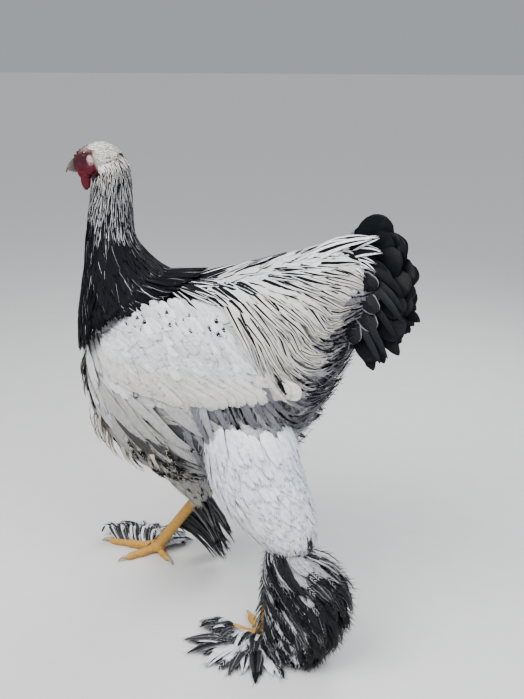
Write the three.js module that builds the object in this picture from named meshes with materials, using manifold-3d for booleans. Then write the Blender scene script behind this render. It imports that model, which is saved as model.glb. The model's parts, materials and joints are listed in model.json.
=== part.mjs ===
// A young brahma cockerel, life size, walking: the right leg forward, the left one back, and the head
// turned a little to its right. Millimetres, +Z up. The bird faces -Y, its left side is +X, and its toes
// stand on Z = 0.
import * as THREE from "three";
import { mergeVertices } from "three/addons/utils/BufferGeometryUtils.js";
import Module from "manifold-3d";

const wasm = await Module();
wasm.setup();

// Driving sizes. A place on the bird is written as forward, left and up from the ground point under its
// body.
const gap = 0.3;
const headCentre = [137, -8, 613];
const headTurn = 11;
const headNod = 9;
const eyeRadius = 4.8;
const tailRoot = [-184, 0, 484];
const tailLength = 88;
const trunkRear = -203;
const footFeatherHeight = 8;
const clawLength = 17;
const scatterSeed = 7;

const at = (forward, left, up) => new THREE.Vector3(left, -forward, up);
const degrees = THREE.MathUtils.degToRad;
const mix = THREE.MathUtils.lerp;

// A seeded draw between -1 and 1, started again for each group of feathers, so that every build is alike.
function scatter(seed) {
  let state = (seed + scatterSeed) * 2654435761;
  return () => {
    state = (Math.imul(state ^ (state >>> 15), 2246822519) + 374761393) | 0;
    return ((state ^ (state >>> 13)) >>> 0) / 2147483648 - 1;
  };
}

// Rows of numbers sorted by their first one, joined by smooth curves. The returned function gives the
// other numbers at any place.
function profile(rows) {
  const slope = (k, c) => {
    const before = rows[Math.max(k - 1, 0)];
    const after = rows[Math.min(k + 1, rows.length - 1)];
    return (after[c] - before[c]) / (after[0] - before[0]);
  };
  return (place) => {
    const x = THREE.MathUtils.clamp(place, rows[0][0], rows.at(-1)[0]);
    let k = 0;
    while (k < rows.length - 2 && x > rows[k + 1][0]) k++;
    const span = rows[k + 1][0] - rows[k][0];
    const t = (x - rows[k][0]) / span;
    return rows[k].slice(1).map((value, i) => {
      const next = rows[k + 1][i + 1];
      const rise = (1 + 2 * t) * (1 - t) ** 2 * value + t * t * (3 - 2 * t) * next;
      return rise + span * t * (1 - t) * ((1 - t) * slope(k, i + 1) - t * slope(k + 1, i + 1));
    });
  };
}

// Places from low to high, closer together at both ends.
const stations = (low, high, count) =>
  Array.from({ length: count }, (_, i) => mix(low, high, 0.5 - 0.5 * Math.cos((Math.PI * i) / (count - 1))));
const around = (count) => Array.from({ length: count }, (_, j) => (2 * Math.PI * j) / count);

// A closed surface through rings of points, each end closed by a fan. turned(j) splits the quads of column
// j the other way.
function loft(rings, turned = () => false) {
  const sides = rings[0].length;
  const faces = [];
  rings.slice(1).forEach((_, i) => {
    for (let j = 0; j < sides; j++) {
      const [a, b] = [i * sides + j, i * sides + ((j + 1) % sides)];
      const [c, d] = [a + sides, b + sides];
      faces.push(...(turned(j) ? [a, b, c, b, d, c] : [a, b, d, a, d, c]));
    }
  });
  const last = (rings.length - 1) * sides;
  for (let j = 1; j < sides - 1; j++) faces.push(0, j + 1, j, last, last + j, last + j + 1);
  const geometry = new THREE.BufferGeometry().setFromPoints(rings.flat());
  geometry.setIndex(faces);
  return geometry;
}

// A geometry as a solid for joining and cutting, turned right side out if it faces in.
function solid(geometry) {
  const bare = geometry.clone();
  bare.deleteAttribute("normal");
  bare.deleteAttribute("uv");
  const merged = mergeVertices(bare, 1e-4);
  const place = merged.attributes.position;
  const corner = (i) => new THREE.Vector3().fromBufferAttribute(place, i);
  const triVerts = new Uint32Array(merged.index.array);
  let volume = 0;
  for (let i = 0; i < triVerts.length; i += 3) {
    volume += corner(triVerts[i]).dot(corner(triVerts[i + 1]).cross(corner(triVerts[i + 2])));
  }
  if (volume < 0) triVerts.reverse();
  return new wasm.Manifold(new wasm.Mesh({ numProp: 3, vertProperties: place.array, triVerts }));
}
const join = (pieces) => pieces.reduce((whole, piece) => whole.add(piece));
const cut = (whole, ...tools) => tools.reduce((rest, tool) => rest.subtract(tool), whole);
const largest = (whole) => whole.decompose().sort((a, b) => b.volume() - a.volume())[0];

// The largest body of a solid as a mesh with its own material.
function part(name, whole, material) {
  const { vertProperties, numProp, triVerts, numVert } = largest(whole).getMesh();
  const place = new Float32Array(numVert * 3);
  for (let i = 0; i < numVert; i++) place.set(vertProperties.subarray(i * numProp, i * numProp + 3), i * 3);
  const geometry = new THREE.BufferGeometry();
  geometry.setAttribute("position", new THREE.BufferAttribute(place, 3));
  geometry.setIndex(new THREE.BufferAttribute(triVerts, 1));
  geometry.computeVertexNormals();
  const mesh = new THREE.Mesh(geometry, material);
  mesh.name = name;
  return mesh;
}

const finish = (color, roughness) => new THREE.MeshStandardMaterial({ color, roughness, metalness: 0 });
const materials = {
  white: finish(0xd9d7d2, 0.85),
  hackle: finish(0x8f8f92, 0.7),
  black: finish(0x1b1b20, 0.5),
  skin: finish(0xa02a33, 0.55),
  lobe: finish(0xd8c4c0, 0.6),
  scale: finish(0xc69a4a, 0.5),
  horn: finish(0xb5a98c, 0.45),
  eye: finish(0x7a3c18, 0.1),
};

// One point of a rounded section: angle 0 is the left side and 90 degrees the top. Squareness 2 is an
// ellipse.
function rounded(angle, square) {
  const [c, s] = [Math.cos(angle), Math.sin(angle)];
  return [Math.sign(c) * Math.abs(c) ** (2 / square), Math.sign(s) * Math.abs(s) ** (2 / square)];
}

// A surface given by point(along, angle) about a middle line, read with the way out of it: the cross
// product of its two tangents, turned to point away from the middle. Step is the distance along it between
// the tangent's ends.
const angleStep = 0.01;
function onSurface(point, middle, step = 1) {
  return (along, angle, lift = 0) => {
    const place = point(along, angle);
    const first = point(along + step, angle).sub(point(along - step, angle));
    const second = point(along, angle + angleStep).sub(point(along, angle - angleStep));
    const out = first.cross(second).normalize();
    if (out.dot(place.clone().sub(middle(along))) < 0) out.negate();
    return { place: place.addScaledVector(out, lift), out };
  };
}

// A closed shell over a surface between two ends, swollen along its outward directions and at its ends.
const shell = (surface, [low, high], count, sides, axis, swell) =>
  solid(
    loft(
      stations(low, high, count).map((along, i) =>
        around(sides).map((angle) => {
          const { place } = surface(along, angle, swell);
          if (i === 0) place.addScaledVector(axis, -swell);
          if (i === count - 1) place.addScaledVector(axis, swell);
          return place;
        }),
      ),
    ),
  );
const ahead = at(1, 0, 0);
const upward = new THREE.Vector3(0, 0, 1);

// Feathers. An outline is a list of places along the feather with the share of its width there.
const outlines = {
  lancet: [[0, 0.5], [0.3, 0.95], [0.68, 0.8], [1, 0.1]],
  round: [[0, 0.4], [0.4, 0.95], [0.82, 0.92], [1, 0.34]],
  long: [[0, 0.4], [0.45, 1], [0.85, 0.9], [1, 0.3]],
  plume: [[0, 0.5], [0.4, 1], [0.75, 0.85], [1, 0.16]],
};
const ridge = 1.3;
const tipRidge = 0.6;

// A feather as a blade with a ridge along its outer face: lie(t) gives its middle line and the way out of
// the surface under it. The cup lets the edges sag towards the body. The roll tips the blade about its
// middle line, so that neighbours lie on one another like tiles. A swell makes it larger all round, to cut
// its room out of others.
const tangentShare = 0.03;
function feather(lie, half, outline, { cup = 0.06, roll = 0, swell = 0 } = {}) {
  const last = outline.length - 1;
  const rings = outline.map(([t, wide], k) => {
    const { place, out } = lie(t);
    const along = lie(t + tangentShare).place.sub(lie(t - tangentShare).place).normalize();
    const side = along.clone().cross(out).normalize().applyAxisAngle(along, degrees(roll));
    const away = side.clone().cross(along);
    if (k === 0) place.addScaledVector(along, -swell);
    if (k === last) place.addScaledVector(along, swell);
    const point = (across, raise) => place.clone().addScaledVector(side, across).addScaledVector(away, raise);
    const width = half * wide + swell;
    const sag = -cup * half * wide;
    const [over, under] = [sag + swell, sag - swell];
    const blunt = [point(-width, over), point(-width, under), point(width, under), point(width, over)];
    const edges = swell ? blunt : [point(-width, sag), point(width, sag)];
    return [point(0, (k === last ? tipRidge : ridge) + swell), ...edges];
  });
  return solid(loft(rings, (j) => j === rings[0].length - 1));
}

// A feather's lie over a surface from one place on it to another, places as (along, degrees): its root is
// sunk and its tip stands off by the rise.
const over = (surface, from, to, sink, rise) => (t) => {
  const lift = -sink + (rise + sink) * (1 - (1 - t) ** 2);
  return surface(mix(from[0], to[0], t), degrees(mix(from[1], to[1], t)), lift);
};
// A feather's lie along a free curve of places, with one way out for all of it.
const free = (places, out) => {
  const curve = new THREE.QuadraticBezierCurve3(...places);
  return (t) => ({ place: curve.getPoint(t), out });
};

// Trunk: upright sections along the bird, each with its top, widest height, bottom and half width. The
// back is flat and the belly round.
const trunkEnds = [-206, 157];
const trunkRows = profile([
  [-206, 522, 494, 466, 12],
  [-190, 530, 484, 432, 30],
  [-160, 524, 450, 360, 54],
  [-120, 510, 420, 283, 76],
  [-70, 495, 400, 240, 88],
  [-15, 480, 385, 221, 94],
  [36, 474, 375, 217, 94],
  [84, 468, 368, 229, 87],
  [118, 458, 364, 252, 73],
  [142, 440, 362, 290, 52],
  [153, 410, 360, 324, 30],
  [157, 378, 360, 346, 11],
]);
const backSquare = 2.9;
const bellySquare = 2.15;
function trunkPoint(forward, angle) {
  const [top, belt, bottom, half] = trunkRows(forward);
  const upper = Math.sin(angle) >= 0;
  const [side, rise] = rounded(angle, upper ? backSquare : bellySquare);
  return at(forward, side * half, belt + rise * (upper ? top - belt : belt - bottom));
}
const trunkSurface = onSurface(trunkPoint, (forward) => at(forward, 0, trunkRows(forward)[1]));
const trunk = (swell = 0) => shell(trunkSurface, trunkEnds, 16, 24, ahead, swell);

// An angle of the left side, in degrees, carried to the side of that sign.
const onSide = (sign, angle) => (sign > 0 ? angle : 180 - angle);
const plumeSink = 4;
// Places in the middle of equal shares, from 0 to 1.
const shares = (count) => Array.from({ length: count }, (_, i) => (i + 0.5) / count);

// Saddle: rows of long lancet feathers that leave the back and hang over the flanks and the wings' ends.
// Each row: first and last root along the bird, the angle of the roots, of the tips, drift to the rear,
// count, and rise of the tips.
const saddleHalf = 9;
const saddleRoll = 7;
const saddleRows = [
  { front: -62, rear: -178, root: 52, tip: -4, drift: 46, count: 6, rise: [19, 8] },
  { front: -30, rear: -168, root: 76, tip: 24, drift: 54, count: 6, rise: [17, 10] },
  { front: -8, rear: -150, root: 84, tip: 55, drift: 66, count: 5, rise: [7, 7] },
];
function saddle(swell = 0) {
  const draw = scatter(1);
  return saddleRows.flatMap((row) =>
    shares(row.count).flatMap((t) =>
      [1, -1].map((sign) => {
        const forward = mix(row.front, row.rear, t) + 3 * draw();
        const end = Math.max(forward - row.drift * (1 - 0.25 * t) + 4 * draw(), trunkRear);
        const [root, tip] = [onSide(sign, row.root), onSide(sign, row.tip + 6 * draw())];
        const rise = mix(...row.rise, t) + draw();
        const lie = over(trunkSurface, [forward, root], [end, tip], plumeSink, rise);
        return feather(lie, saddleHalf, outlines.lancet, { roll: saddleRoll * sign, swell });
      }),
    ),
  );
}

// Fluff: broad soft plumes at the rear of the belly, behind and between the thighs.
const fluffHalf = 13;
const fluffRoll = 6;
const fluffRows = [
  { front: -96, rear: -176, root: -24, tip: -52, drift: 26, count: 4, rise: 14 },
  { front: -60, rear: -150, root: -56, tip: -74, drift: 40, count: 3, rise: 12 },
];
function fluff(swell = 0) {
  const draw = scatter(8);
  return fluffRows.flatMap((row) =>
    shares(row.count).flatMap((t) =>
      [1, -1].map((sign) => {
        const forward = mix(row.front, row.rear, t) + 4 * draw();
        const end = Math.max(forward - row.drift, trunkRear);
        const [root, tip] = [onSide(sign, row.root), onSide(sign, row.tip + 6 * draw())];
        const lie = over(trunkSurface, [forward, root], [end, tip], plumeSink, row.rise);
        return feather(lie, fluffHalf, outlines.plume, { roll: fluffRoll * sign, swell });
      }),
    ),
  );
}

// Neck: level sections going up, each with its centre, half depth, half width and shift to the left.
const neckEnds = [425, 605];
const neckRows = profile([
  [425, 84, 60, 68, 0],
  [460, 93, 51, 62, 0],
  [486, 106, 37, 44, 0],
  [512, 118, 26, 27, -1],
  [549, 120, 22, 21, -3],
  [581, 120, 18, 17, -5],
  [605, 122, 16, 16, -7],
]);
const levelPoint = (rows) => (up, angle) => {
  const [centre, depth, width, shift] = rows(up);
  return at(centre + Math.sin(angle) * depth, shift + Math.cos(angle) * width, up);
};
const levelSurface = (rows) => onSurface(levelPoint(rows), (up) => at(rows(up)[0], rows(up)[3], up));
const neck = (swell = 0) => shell(levelSurface(neckRows), neckEnds, 10, 16, upward, swell);

// Hackle: its feathers follow a bell that leaves the neck and spreads into the cape. Rings of the bell,
// from the head down: place along it, centre forward, centre height, half depth, half width, and how many
// degrees the ring tips down to the front. Under the head the rings lean to the right, as the neck does.
const capeRows = profile([
  [0, 119, 600, 25, 21, 15],
  [1, 121, 549, 27, 26, 0],
  [2, 121, 512, 30, 31, 3],
  [3, 106, 476, 44, 56, 1],
  [4, 86, 444, 70, 86, 12],
  [5, 70, 425, 97, 100, 27],
]);
const headLean = 6;
function capePoint(along, angle) {
  const [forward, up, depth, width, tip] = capeRows(along);
  const ahead = Math.sin(angle) * depth;
  const left = Math.cos(angle) * width - headLean * Math.max(1 - along / 2, 0);
  return at(forward + ahead * Math.cos(degrees(tip)), left, up - ahead * Math.sin(degrees(tip)));
}
const capeStep = 0.01;
const capeMiddle = (along) => at(capeRows(along)[0], 0, capeRows(along)[1] - 30);
const capeSurface = onSurface(capePoint, capeMiddle, capeStep);
const hackleSink = 5;
const hackleRows = [
  { root: 0.02, tip: 1.4, count: 8, half: 7, rise: 3.6 },
  { root: 0.8, tip: 2.35, count: 9, half: 8, rise: 4.2 },
  { root: 1.6, tip: 3.2, count: 10, half: 9.5, rise: 4.6 },
  { root: 2.4, tip: 4.15, count: 12, half: 12, rise: 4.8 },
  { root: 3.2, tip: 5, count: 14, half: 14, rise: 4.6 },
];
function hackle(swell = 0) {
  const draw = scatter(2);
  return hackleRows.flatMap(({ root, tip, count, half, rise }, row) =>
    Array.from({ length: count }, (_, i) => {
      const angle = (360 * (i + 0.5 * (row % 2))) / count;
      const end = angle + 3 * draw();
      const reach = tip + 0.1 * draw();
      const stand = rise + 0.5 * draw();
      const lie = over(capeSurface, [root, angle], [reach, end], hackleSink, stand);
      return feather(lie, half, outlines.lancet, { swell });
    }),
  );
}

// Wings: thin upright sections along the bird, each with its top, bottom, centre and half thickness. They
// lean in at the top over the back.
const wingEnds = [-128, 106];
const wingRows = profile([
  [-128, 398, 364, 78, 4],
  [-100, 430, 350, 84, 8],
  [-55, 458, 346, 90, 10],
  [-10, 466, 346, 94, 11],
  [35, 460, 354, 94, 11],
  [75, 442, 366, 88, 10],
  [98, 424, 382, 80, 8],
  [106, 412, 394, 74, 4],
]);
const wingLean = 20;
const wingSquare = 2.3;
const wingPoint = (sign) => (forward, angle) => {
  const [top, bottom, centre, half] = wingRows(forward);
  const [side, rise] = rounded(angle, wingSquare);
  const lean = wingLean * Math.max(rise, 0) ** 2;
  return at(forward, sign * (centre - lean + side * half), (top + bottom) / 2 + (rise * (top - bottom)) / 2);
};
const wingMiddle = (sign) => (forward) => {
  const [top, bottom, centre] = wingRows(forward);
  return at(forward, sign * centre, (top + bottom) / 2);
};
const wingSurface = (sign) => onSurface(wingPoint(sign), wingMiddle(sign));
const wing = (sign, swell = 0) => shell(wingSurface(sign), wingEnds, 8, 12, ahead, swell);
// The tiers of a folded wing lie on its outer face, seen square on: height is a share from the lower edge
// to the upper one.
const wingFace = (sign) => (forward, height, lift = 0) => {
  const [top, bottom, centre, half] = wingRows(forward);
  const rise = 2 * height - 1;
  const bulge = half * Math.sqrt(Math.max(1 - Math.min(Math.abs(rise), 1) ** wingSquare, 0));
  const out = new THREE.Vector3(sign, 0, 0.35 * rise).normalize();
  const left = sign * (centre - wingLean * Math.max(rise, 0) ** 2 + bulge);
  const place = at(forward, left, mix(bottom, top, height));
  return { place: place.addScaledVector(out, lift), out };
};
// Each tier: the first and last root (forward, height), the first and last tip, count, half width, rise of
// the tips. They are the long flights, their coverts and the shoulder.
const wingTiers = [
  { roots: [[62, 0.3], [-78, 0.62]], tips: [[-22, -0.02], [-150, 0.22]], count: 8, half: 13, rise: 4 },
  { roots: [[90, 0.42], [-52, 0.8]], tips: [[18, 0.2], [-104, 0.52]], count: 6, half: 14, rise: 6 },
  { roots: [[98, 0.66], [-20, 0.92]], tips: [[42, 0.5], [-70, 0.8]], count: 5, half: 14, rise: 7 },
];
const wingOutlines = [outlines.long, outlines.round, outlines.round];
const flightSink = 3;
const tileRoll = 8;
function wingFeathers(sign, swell = 0) {
  const draw = scatter(3);
  return wingTiers.flatMap(({ roots, tips, count, half, rise }, tier) =>
    Array.from({ length: count }, (_, i) => {
      const t = i / (count - 1);
      const from = roots[0].map((v, k) => mix(v, roots[1][k], t));
      const to = tips[0].map((v, k) => mix(v, tips[1][k], t) + (k ? 0.01 : 3) * draw());
      const face = wingFace(sign);
      const lie = (s) => {
        const lift = -flightSink + (rise + flightSink) * (1 - (1 - s) ** 2);
        return face(mix(from[0], to[0], s), mix(from[1], to[1], s), lift);
      };
      return feather(lie, half, wingOutlines[tier], { roll: tileRoll * sign, swell });
    }),
  );
}

// Thighs: level sections, as the neck's. The left leg trails and the right one leads.
const thighs = {
  left: {
    ends: [158, 345],
    rows: profile([
      [158, -134, 20, 14, 78],
      [170, -131, 33, 24, 77],
      [200, -113, 51, 33, 75],
      [235, -96, 58, 38, 72],
      [270, -85, 56, 40, 68],
      [310, -76, 57, 42, 60],
      [345, -62, 51, 38, 50],
    ]),
  },
  right: {
    ends: [116, 340],
    rows: profile([
      [116, 42, 10, 9, -72],
      [128, 46, 20, 17, -72],
      [148, 56, 29, 24, -71],
      [170, 64, 36, 30, -69],
      [205, 66, 46, 36, -66],
      [250, 58, 54, 40, -60],
      [300, 45, 56, 40, -52],
      [340, 35, 46, 34, -45],
    ]),
  },
};
const thighSurface = (side) => levelSurface(thighs[side].rows);
const thigh = (side, swell = 0) => shell(thighSurface(side), thighs[side].ends, 8, 12, upward, swell);
// The fringe of a thigh: broad soft feathers hanging over the hock, longest at the back. Each row: the
// heights of its roots and tips over the thigh's low end, and how many feathers it has.
const fringeHalf = 12;
const fringeSink = 5;
const fringeRows = [[96, 34, 9], [62, 4, 8]];
function thighFringe(side, swell = 0) {
  const draw = scatter(4);
  const surface = thighSurface(side);
  const low = thighs[side].ends[0];
  return fringeRows.flatMap(([root, tip, count], row) =>
    Array.from({ length: count }, (_, i) => {
      const angle = (360 * (i + 0.5 * row)) / count;
      const back = Math.max(-Math.sin(degrees(angle)), 0);
      const end = low + tip - 10 * back + 4 * draw();
      const lie = over(surface, [low + root, angle], [end, angle + 5 * draw()], fringeSink, 8 + 5 * back);
      return feather(lie, fringeHalf, outlines.plume, { swell });
    }),
  );
}

// A tube of elliptic sections along points, with half widths across and along the upright.
function tube(points, sizes, sides, swell = 0) {
  const curve = new THREE.CatmullRomCurve3(points);
  const rings = sizes.map(([across, tall], i) => {
    const t = i / (sizes.length - 1);
    const along = curve.getTangent(t);
    const level = new THREE.Vector3(0, 0, 1).cross(along);
    if (level.length() < 0.2) level.set(1, 0, 0);
    level.normalize();
    const rise = along.clone().cross(level).normalize();
    const beyond = swell * ((i === sizes.length - 1) - (i === 0));
    return around(sides).map((a) =>
      curve
        .getPoint(t)
        .addScaledVector(along, beyond)
        .addScaledVector(level, Math.cos(a) * (across + swell))
        .addScaledVector(rise, Math.sin(a) * (tall + swell)),
    );
  });
  return solid(loft(rings));
}

// Legs from the hock to the ball of the foot. Turn is how many degrees the foot points to the outer side.
const legs = {
  left: { side: "left", sign: 1, hock: [-116, 78, 156], hub: [-102, 66, 11], turn: -6 },
  right: { side: "right", sign: -1, hock: [40, -72, 122], hub: [119, -84, 11], turn: 0 },
};
const shankSizes = [[9, 11], [9, 12], [8, 10.5], [7, 8.5], [7, 8], [8, 9]];
function shank(leg, swell = 0) {
  const [top, low] = [at(...leg.hock), at(...leg.hub)];
  return tube([top.clone().lerp(low, -0.12), top, low], shankSizes, 10, swell);
}
// Boots: feathers that leave the outer and rear sides of a shank, from the hock down, and sweep out, back
// and down. Each: count, first and last root as a share of the shank, aim of the tips in degrees from
// straight out (+ is rear), reach and fall.
const bootRoll = 6;
const boots = {
  left: [
    { count: 7, roots: [0, 0.62], aims: [88, 74], reach: [98, 84], fall: [36, 66], half: 13 },
    { count: 6, roots: [0.05, 0.8], aims: [46, 26], reach: [52, 46], fall: [56, 36], half: 12 },
    { count: 4, roots: [0.12, 0.72], aims: [-30, -20], reach: [18, 26], fall: [44, 34], half: 9 },
  ],
  right: [
    { count: 6, roots: [0, 0.55], aims: [104, 84], reach: [58, 66], fall: [52, 64], half: 12 },
    { count: 5, roots: [0.05, 0.8], aims: [34, 20], reach: [20, 34], fall: [34, 30], half: 9 },
  ],
};
function bootFeathers(leg, swell = 0) {
  const draw = scatter(leg.sign + 6);
  const [top, low] = [at(...leg.hock), at(...leg.hub)];
  return boots[leg.side].flatMap(({ count, roots, aims, reach, fall, half }) =>
    Array.from({ length: count }, (_, i) => {
      const t = i / (count - 1);
      const root = top.clone().lerp(low, mix(...roots, t));
      const aim = degrees(mix(...aims, t) + 9 * draw());
      const outward = at(-Math.sin(aim), leg.sign * Math.cos(aim), 0);
      const drop = Math.min(mix(...fall, t) + 4 * draw(), root.z - 3);
      const tip = root.clone().addScaledVector(outward, mix(...reach, t) * (1 + 0.12 * draw()));
      tip.z -= drop;
      const bend = root.clone().addScaledVector(outward, mix(...reach, t) * 0.55);
      bend.z -= drop * 0.22;
      const face = outward.clone().setZ(0.9).normalize();
      const roll = bootRoll * leg.sign;
      return feather(free([root, bend, tip], face), half, outlines.plume, { roll, swell });
    }),
  );
}

// Toes: direction from straight ahead towards the inner side, length, half thickness at the root.
const toeList = {
  middle: { aim: 0, length: 84, thick: 7 },
  inner: { aim: 44, length: 52, thick: 6.5 },
  outer: { aim: -38, length: 62, thick: 6.5 },
  hind: { aim: 142, length: 34, thick: 5.5 },
};
const solePress = 0.6;
function toePlace(leg, { aim }) {
  const turned = degrees(aim * -leg.sign + leg.turn * leg.sign);
  const out = at(Math.cos(turned), Math.sin(turned), 0);
  return (distance, up) => at(...leg.hub).addScaledVector(out, distance).setZ(up);
}
function toe(leg, which, swell = 0) {
  const { length, thick } = toeList[which];
  const place = toePlace(leg, toeList[which]);
  const points = [
    place(0, leg.hub[2]),
    place(length * 0.3, thick - solePress),
    place(length * 0.65, thick * 0.9 - solePress),
    place(length, 4.2),
  ];
  const sizes = [1.15, 1, 0.84, 0.96, 0.82, 0.42].map((share) => [share * thick, share * thick]);
  return tube(points, sizes, 6, swell);
}
function claw(leg, which, swell = 0) {
  const { length } = toeList[which];
  const place = toePlace(leg, toeList[which]);
  const points = [place(length - 4, 5.5), place(length + clawLength * 0.45, 5.5), place(length + clawLength, 1.4)];
  return tube(points, [[2.8, 3], [2.1, 2.4], [0.4, 0.4]], 5, swell);
}
const padRadius = 12;
const footPad = (leg) =>
  solid(new THREE.SphereGeometry(padRadius, 9, 6).rotateX(Math.PI / 2).translate(...at(...leg.hub)));
const floorSize = [2000, 2000, 100];
const floorBlock = solid(new THREE.BoxGeometry(...floorSize).translate(0, 0, -floorSize[2] / 2));
// Foot feathers fan out over the floor from the outer toe, the first near its claw and the last at the
// ball of the foot. Aims go from straight ahead to the outer side, and stems from the claw's side to the
// ball, along the toe.
const footRoll = 8;
const footStems = [36, 2];
const footFans = {
  left: { aims: [16, 158], reach: [58, 72], count: 8, half: 12 },
  right: { aims: [12, 130], reach: [82, 56], count: 7, half: 11 },
};
function footFeathers(leg) {
  const { aims, reach, count, half } = footFans[leg.side];
  const draw = scatter(leg.sign + 9);
  return Array.from({ length: count }, (_, i) => {
    const aim = degrees(mix(...aims, i / (count - 1)) + 3 * draw());
    const out = at(Math.cos(aim), leg.sign * Math.sin(aim), 0);
    const length = mix(...reach, i / (count - 1)) * (1 + 0.1 * draw());
    const stem = toePlace(leg, toeList.outer)(mix(...footStems, i / (count - 1)), 0);
    const place = (distance, up) => stem.clone().addScaledVector(out, distance).setZ(up);
    const low = footFeatherHeight;
    const lie = free([place(0, low), place(length * 0.5, low + 8), place(length, 0)], upward);
    return feather(lie, half, outlines.plume, { roll: footRoll * leg.sign });
  });
}

// Tail: broad vanes that leave its root as a steep roof, open at the bottom, with shorter curved coverts
// over their roots. Each tier: elevation of its first and last vane in degrees from straight back, shares
// of the tail's length, spread to the side, count on a side, half width, droop of the tips and distance
// from the middle.
const tailRoll = 6;
const tailTiers = [
  { lift: [66, -42], length: [0.98, 1.06], spread: [2, 32], count: 6, half: 19, droop: 8, stand: 0 },
  { lift: [48, -64], length: [0.76, 1.04], spread: [9, 38], count: 5, half: 17, droop: 16, stand: 4 },
  { lift: [30, -84], length: [0.52, 1.06], spread: [15, 44], count: 4, half: 15, droop: 14, stand: 8 },
];
// The tail's own flesh, a short upright wedge behind the back, holds the roots of its vanes.
const tailStub = () => {
  const [forward, left, up] = tailRoot;
  const places = [at(forward + 10, left, up - 4), at(forward - 20, left, up), at(forward - 42, left, up + 4)];
  return tube(places, [[20, 50], [17, 50], [13, 46], [4, 22]], 12);
};
function tailVanes() {
  const draw = scatter(5);
  const [forward, , up] = tailRoot;
  return tailTiers.flatMap(({ lift, length, spread, count, half, droop, stand }) =>
    Array.from({ length: count }, (_, i) => i / (count - 1)).flatMap((t, i) =>
      [1, -1].map((sign) => {
        const rise = degrees(mix(...lift, t) + 3 * draw());
        const reach = tailLength * mix(...length, t) * (1 + 0.06 * draw());
        const side = sign * (3 + stand + 1.6 * (i % 2));
        const root = at(forward - 4, side, up + 14 * Math.sin(rise));
        const tipSide = side + sign * mix(...spread, t);
        const tip = at(forward - reach * Math.cos(rise), tipSide, up + reach * Math.sin(rise) - droop * 0.4);
        const arch = at(-droop * Math.sin(rise) * 0.4, sign * stand, droop * Math.cos(rise));
        const bend = root.clone().lerp(tip, 0.5).add(arch);
        const out = at(0, sign, mix(0.1, 0.5, t)).normalize();
        return feather(free([root, bend, tip], out), half, outlines.long, { roll: tailRoll * sign });
      }),
    ),
  );
}

// Head, modelled round its own centre and facing +X before it is turned. Sections along it: top, widest
// height, bottom and half width.
const headPose = new THREE.Matrix4().compose(
  at(...headCentre),
  new THREE.Quaternion().setFromEuler(new THREE.Euler(0, degrees(headNod), degrees(-90 - headTurn), "ZYX")),
  new THREE.Vector3(1, 1, 1),
);
const posed = (whole) => whole.transform(headPose.elements);
const skullEnds = [-30, 34];
const skullRows = profile([
  [-30, 11, 1, -12, 11],
  [-22, 18, 2, -18, 16],
  [-8, 24, 4, -22, 19],
  [6, 25, 4, -23, 19],
  [18, 21, 2, -21, 15],
  [28, 15, -1, -16, 11],
  [34, 8, -3, -12, 8],
]);
const skullPoint = (x, angle) => {
  const [top, belt, bottom, half] = skullRows(x);
  const rise = Math.sin(angle) * (Math.sin(angle) > 0 ? top - belt : belt - bottom);
  return new THREE.Vector3(x, Math.cos(angle) * half, belt + rise);
};
const skullSurface = onSurface(skullPoint, (x) => new THREE.Vector3(x, 0, skullRows(x)[1]));
const skull = (swell = 0) => shell(skullSurface, skullEnds, 10, 14, new THREE.Vector3(1, 0, 0), swell);
const ball = (x, y, z, sx, sy, sz, wide = 10, tall = 8) =>
  solid(new THREE.SphereGeometry(1, wide, tall).scale(sx, sy, sz).translate(x, y, z));

// Beak: the upper half curves down over the lower one, and the line of the mouth lies between them.
const beakRoot = 26;
const gapeHeight = -5;
const lipBulge = 0.4;
const beakRows = {
  upper: profile([[26, 10, 8.5], [35, 8.5, 7.5], [44, 5, 5], [52, -1, 2.6], [58, -8, 0.9]]),
  lower: profile([[26, 7, 7.5], [35, 6, 6.5], [44, 4, 4.4], [51, 2, 2]]),
};
const beakUpper = () =>
  solid(
    loft(
      stations(beakRoot, 58, 7).map((x) => {
        const [top, half] = beakRows.upper(x);
        const low = Math.min(gapeHeight, top - 2);
        return around(10).map((a) => {
          const rise = Math.sin(a) > 0 ? Math.sin(a) * (top - low) : Math.sin(a) * lipBulge;
          return new THREE.Vector3(x, Math.cos(a) * half, low + rise);
        });
      }),
    ),
  );
const beakLower = () =>
  solid(
    loft(
      stations(beakRoot, 51, 5).map((x) => {
        const [deep, half] = beakRows.lower(x);
        const high = gapeHeight - 3 * lipBulge - gap;
        return around(10).map((a) => {
          const rise = Math.sin(a) > 0 ? Math.sin(a) * lipBulge : Math.sin(a) * deep;
          return new THREE.Vector3(x, Math.cos(a) * half, high + rise);
        });
      }),
    ),
  );
const nostril = (sign) => ball(37, sign * 7, 1.5, 3, 2.4, 1.1, 6, 4);
const gapeLine = (sign) => ball(23, sign * 13.4, gapeHeight - 1.2, 9, 2, 0.7, 6, 4);
const eyePlace = (sign) => [10, sign * 14, 8];
const lids = (sign) =>
  solid(
    new THREE.TorusGeometry(eyeRadius + 0.5, 1.3, 5, 11)
      .rotateX(Math.PI / 2)
      .rotateZ(-0.12 * sign)
      .translate(10, sign * 17.2, 8),
  );
// Comb: a low pea comb of three rows of bumps, the middle one the highest.
const comb = () =>
  join(
    [-1, 0, 1].flatMap((row) =>
      [0, 1, 2].map((i) => {
        const x = 30 - 8 * i;
        const [top] = skullRows(x);
        return ball(x, 3.6 * row, top + (row ? 0 : 1.6), 4.4, 2.4, row ? 2.6 : 3.6, 6, 4);
      }),
    ),
  );
// Wattle: a lobe hung from the jaw, creased by a shallow fold.
const wattle = (sign) =>
  join([ball(17, sign * 9, -25, 8.5, 3.2, 14, 8, 6), ball(13, sign * 9.8, -20, 4.5, 3, 10, 6, 5)]);

const bird = new THREE.Group();
const head = new THREE.Group();
head.applyMatrix4(headPose);
bird.add(head);

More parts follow.
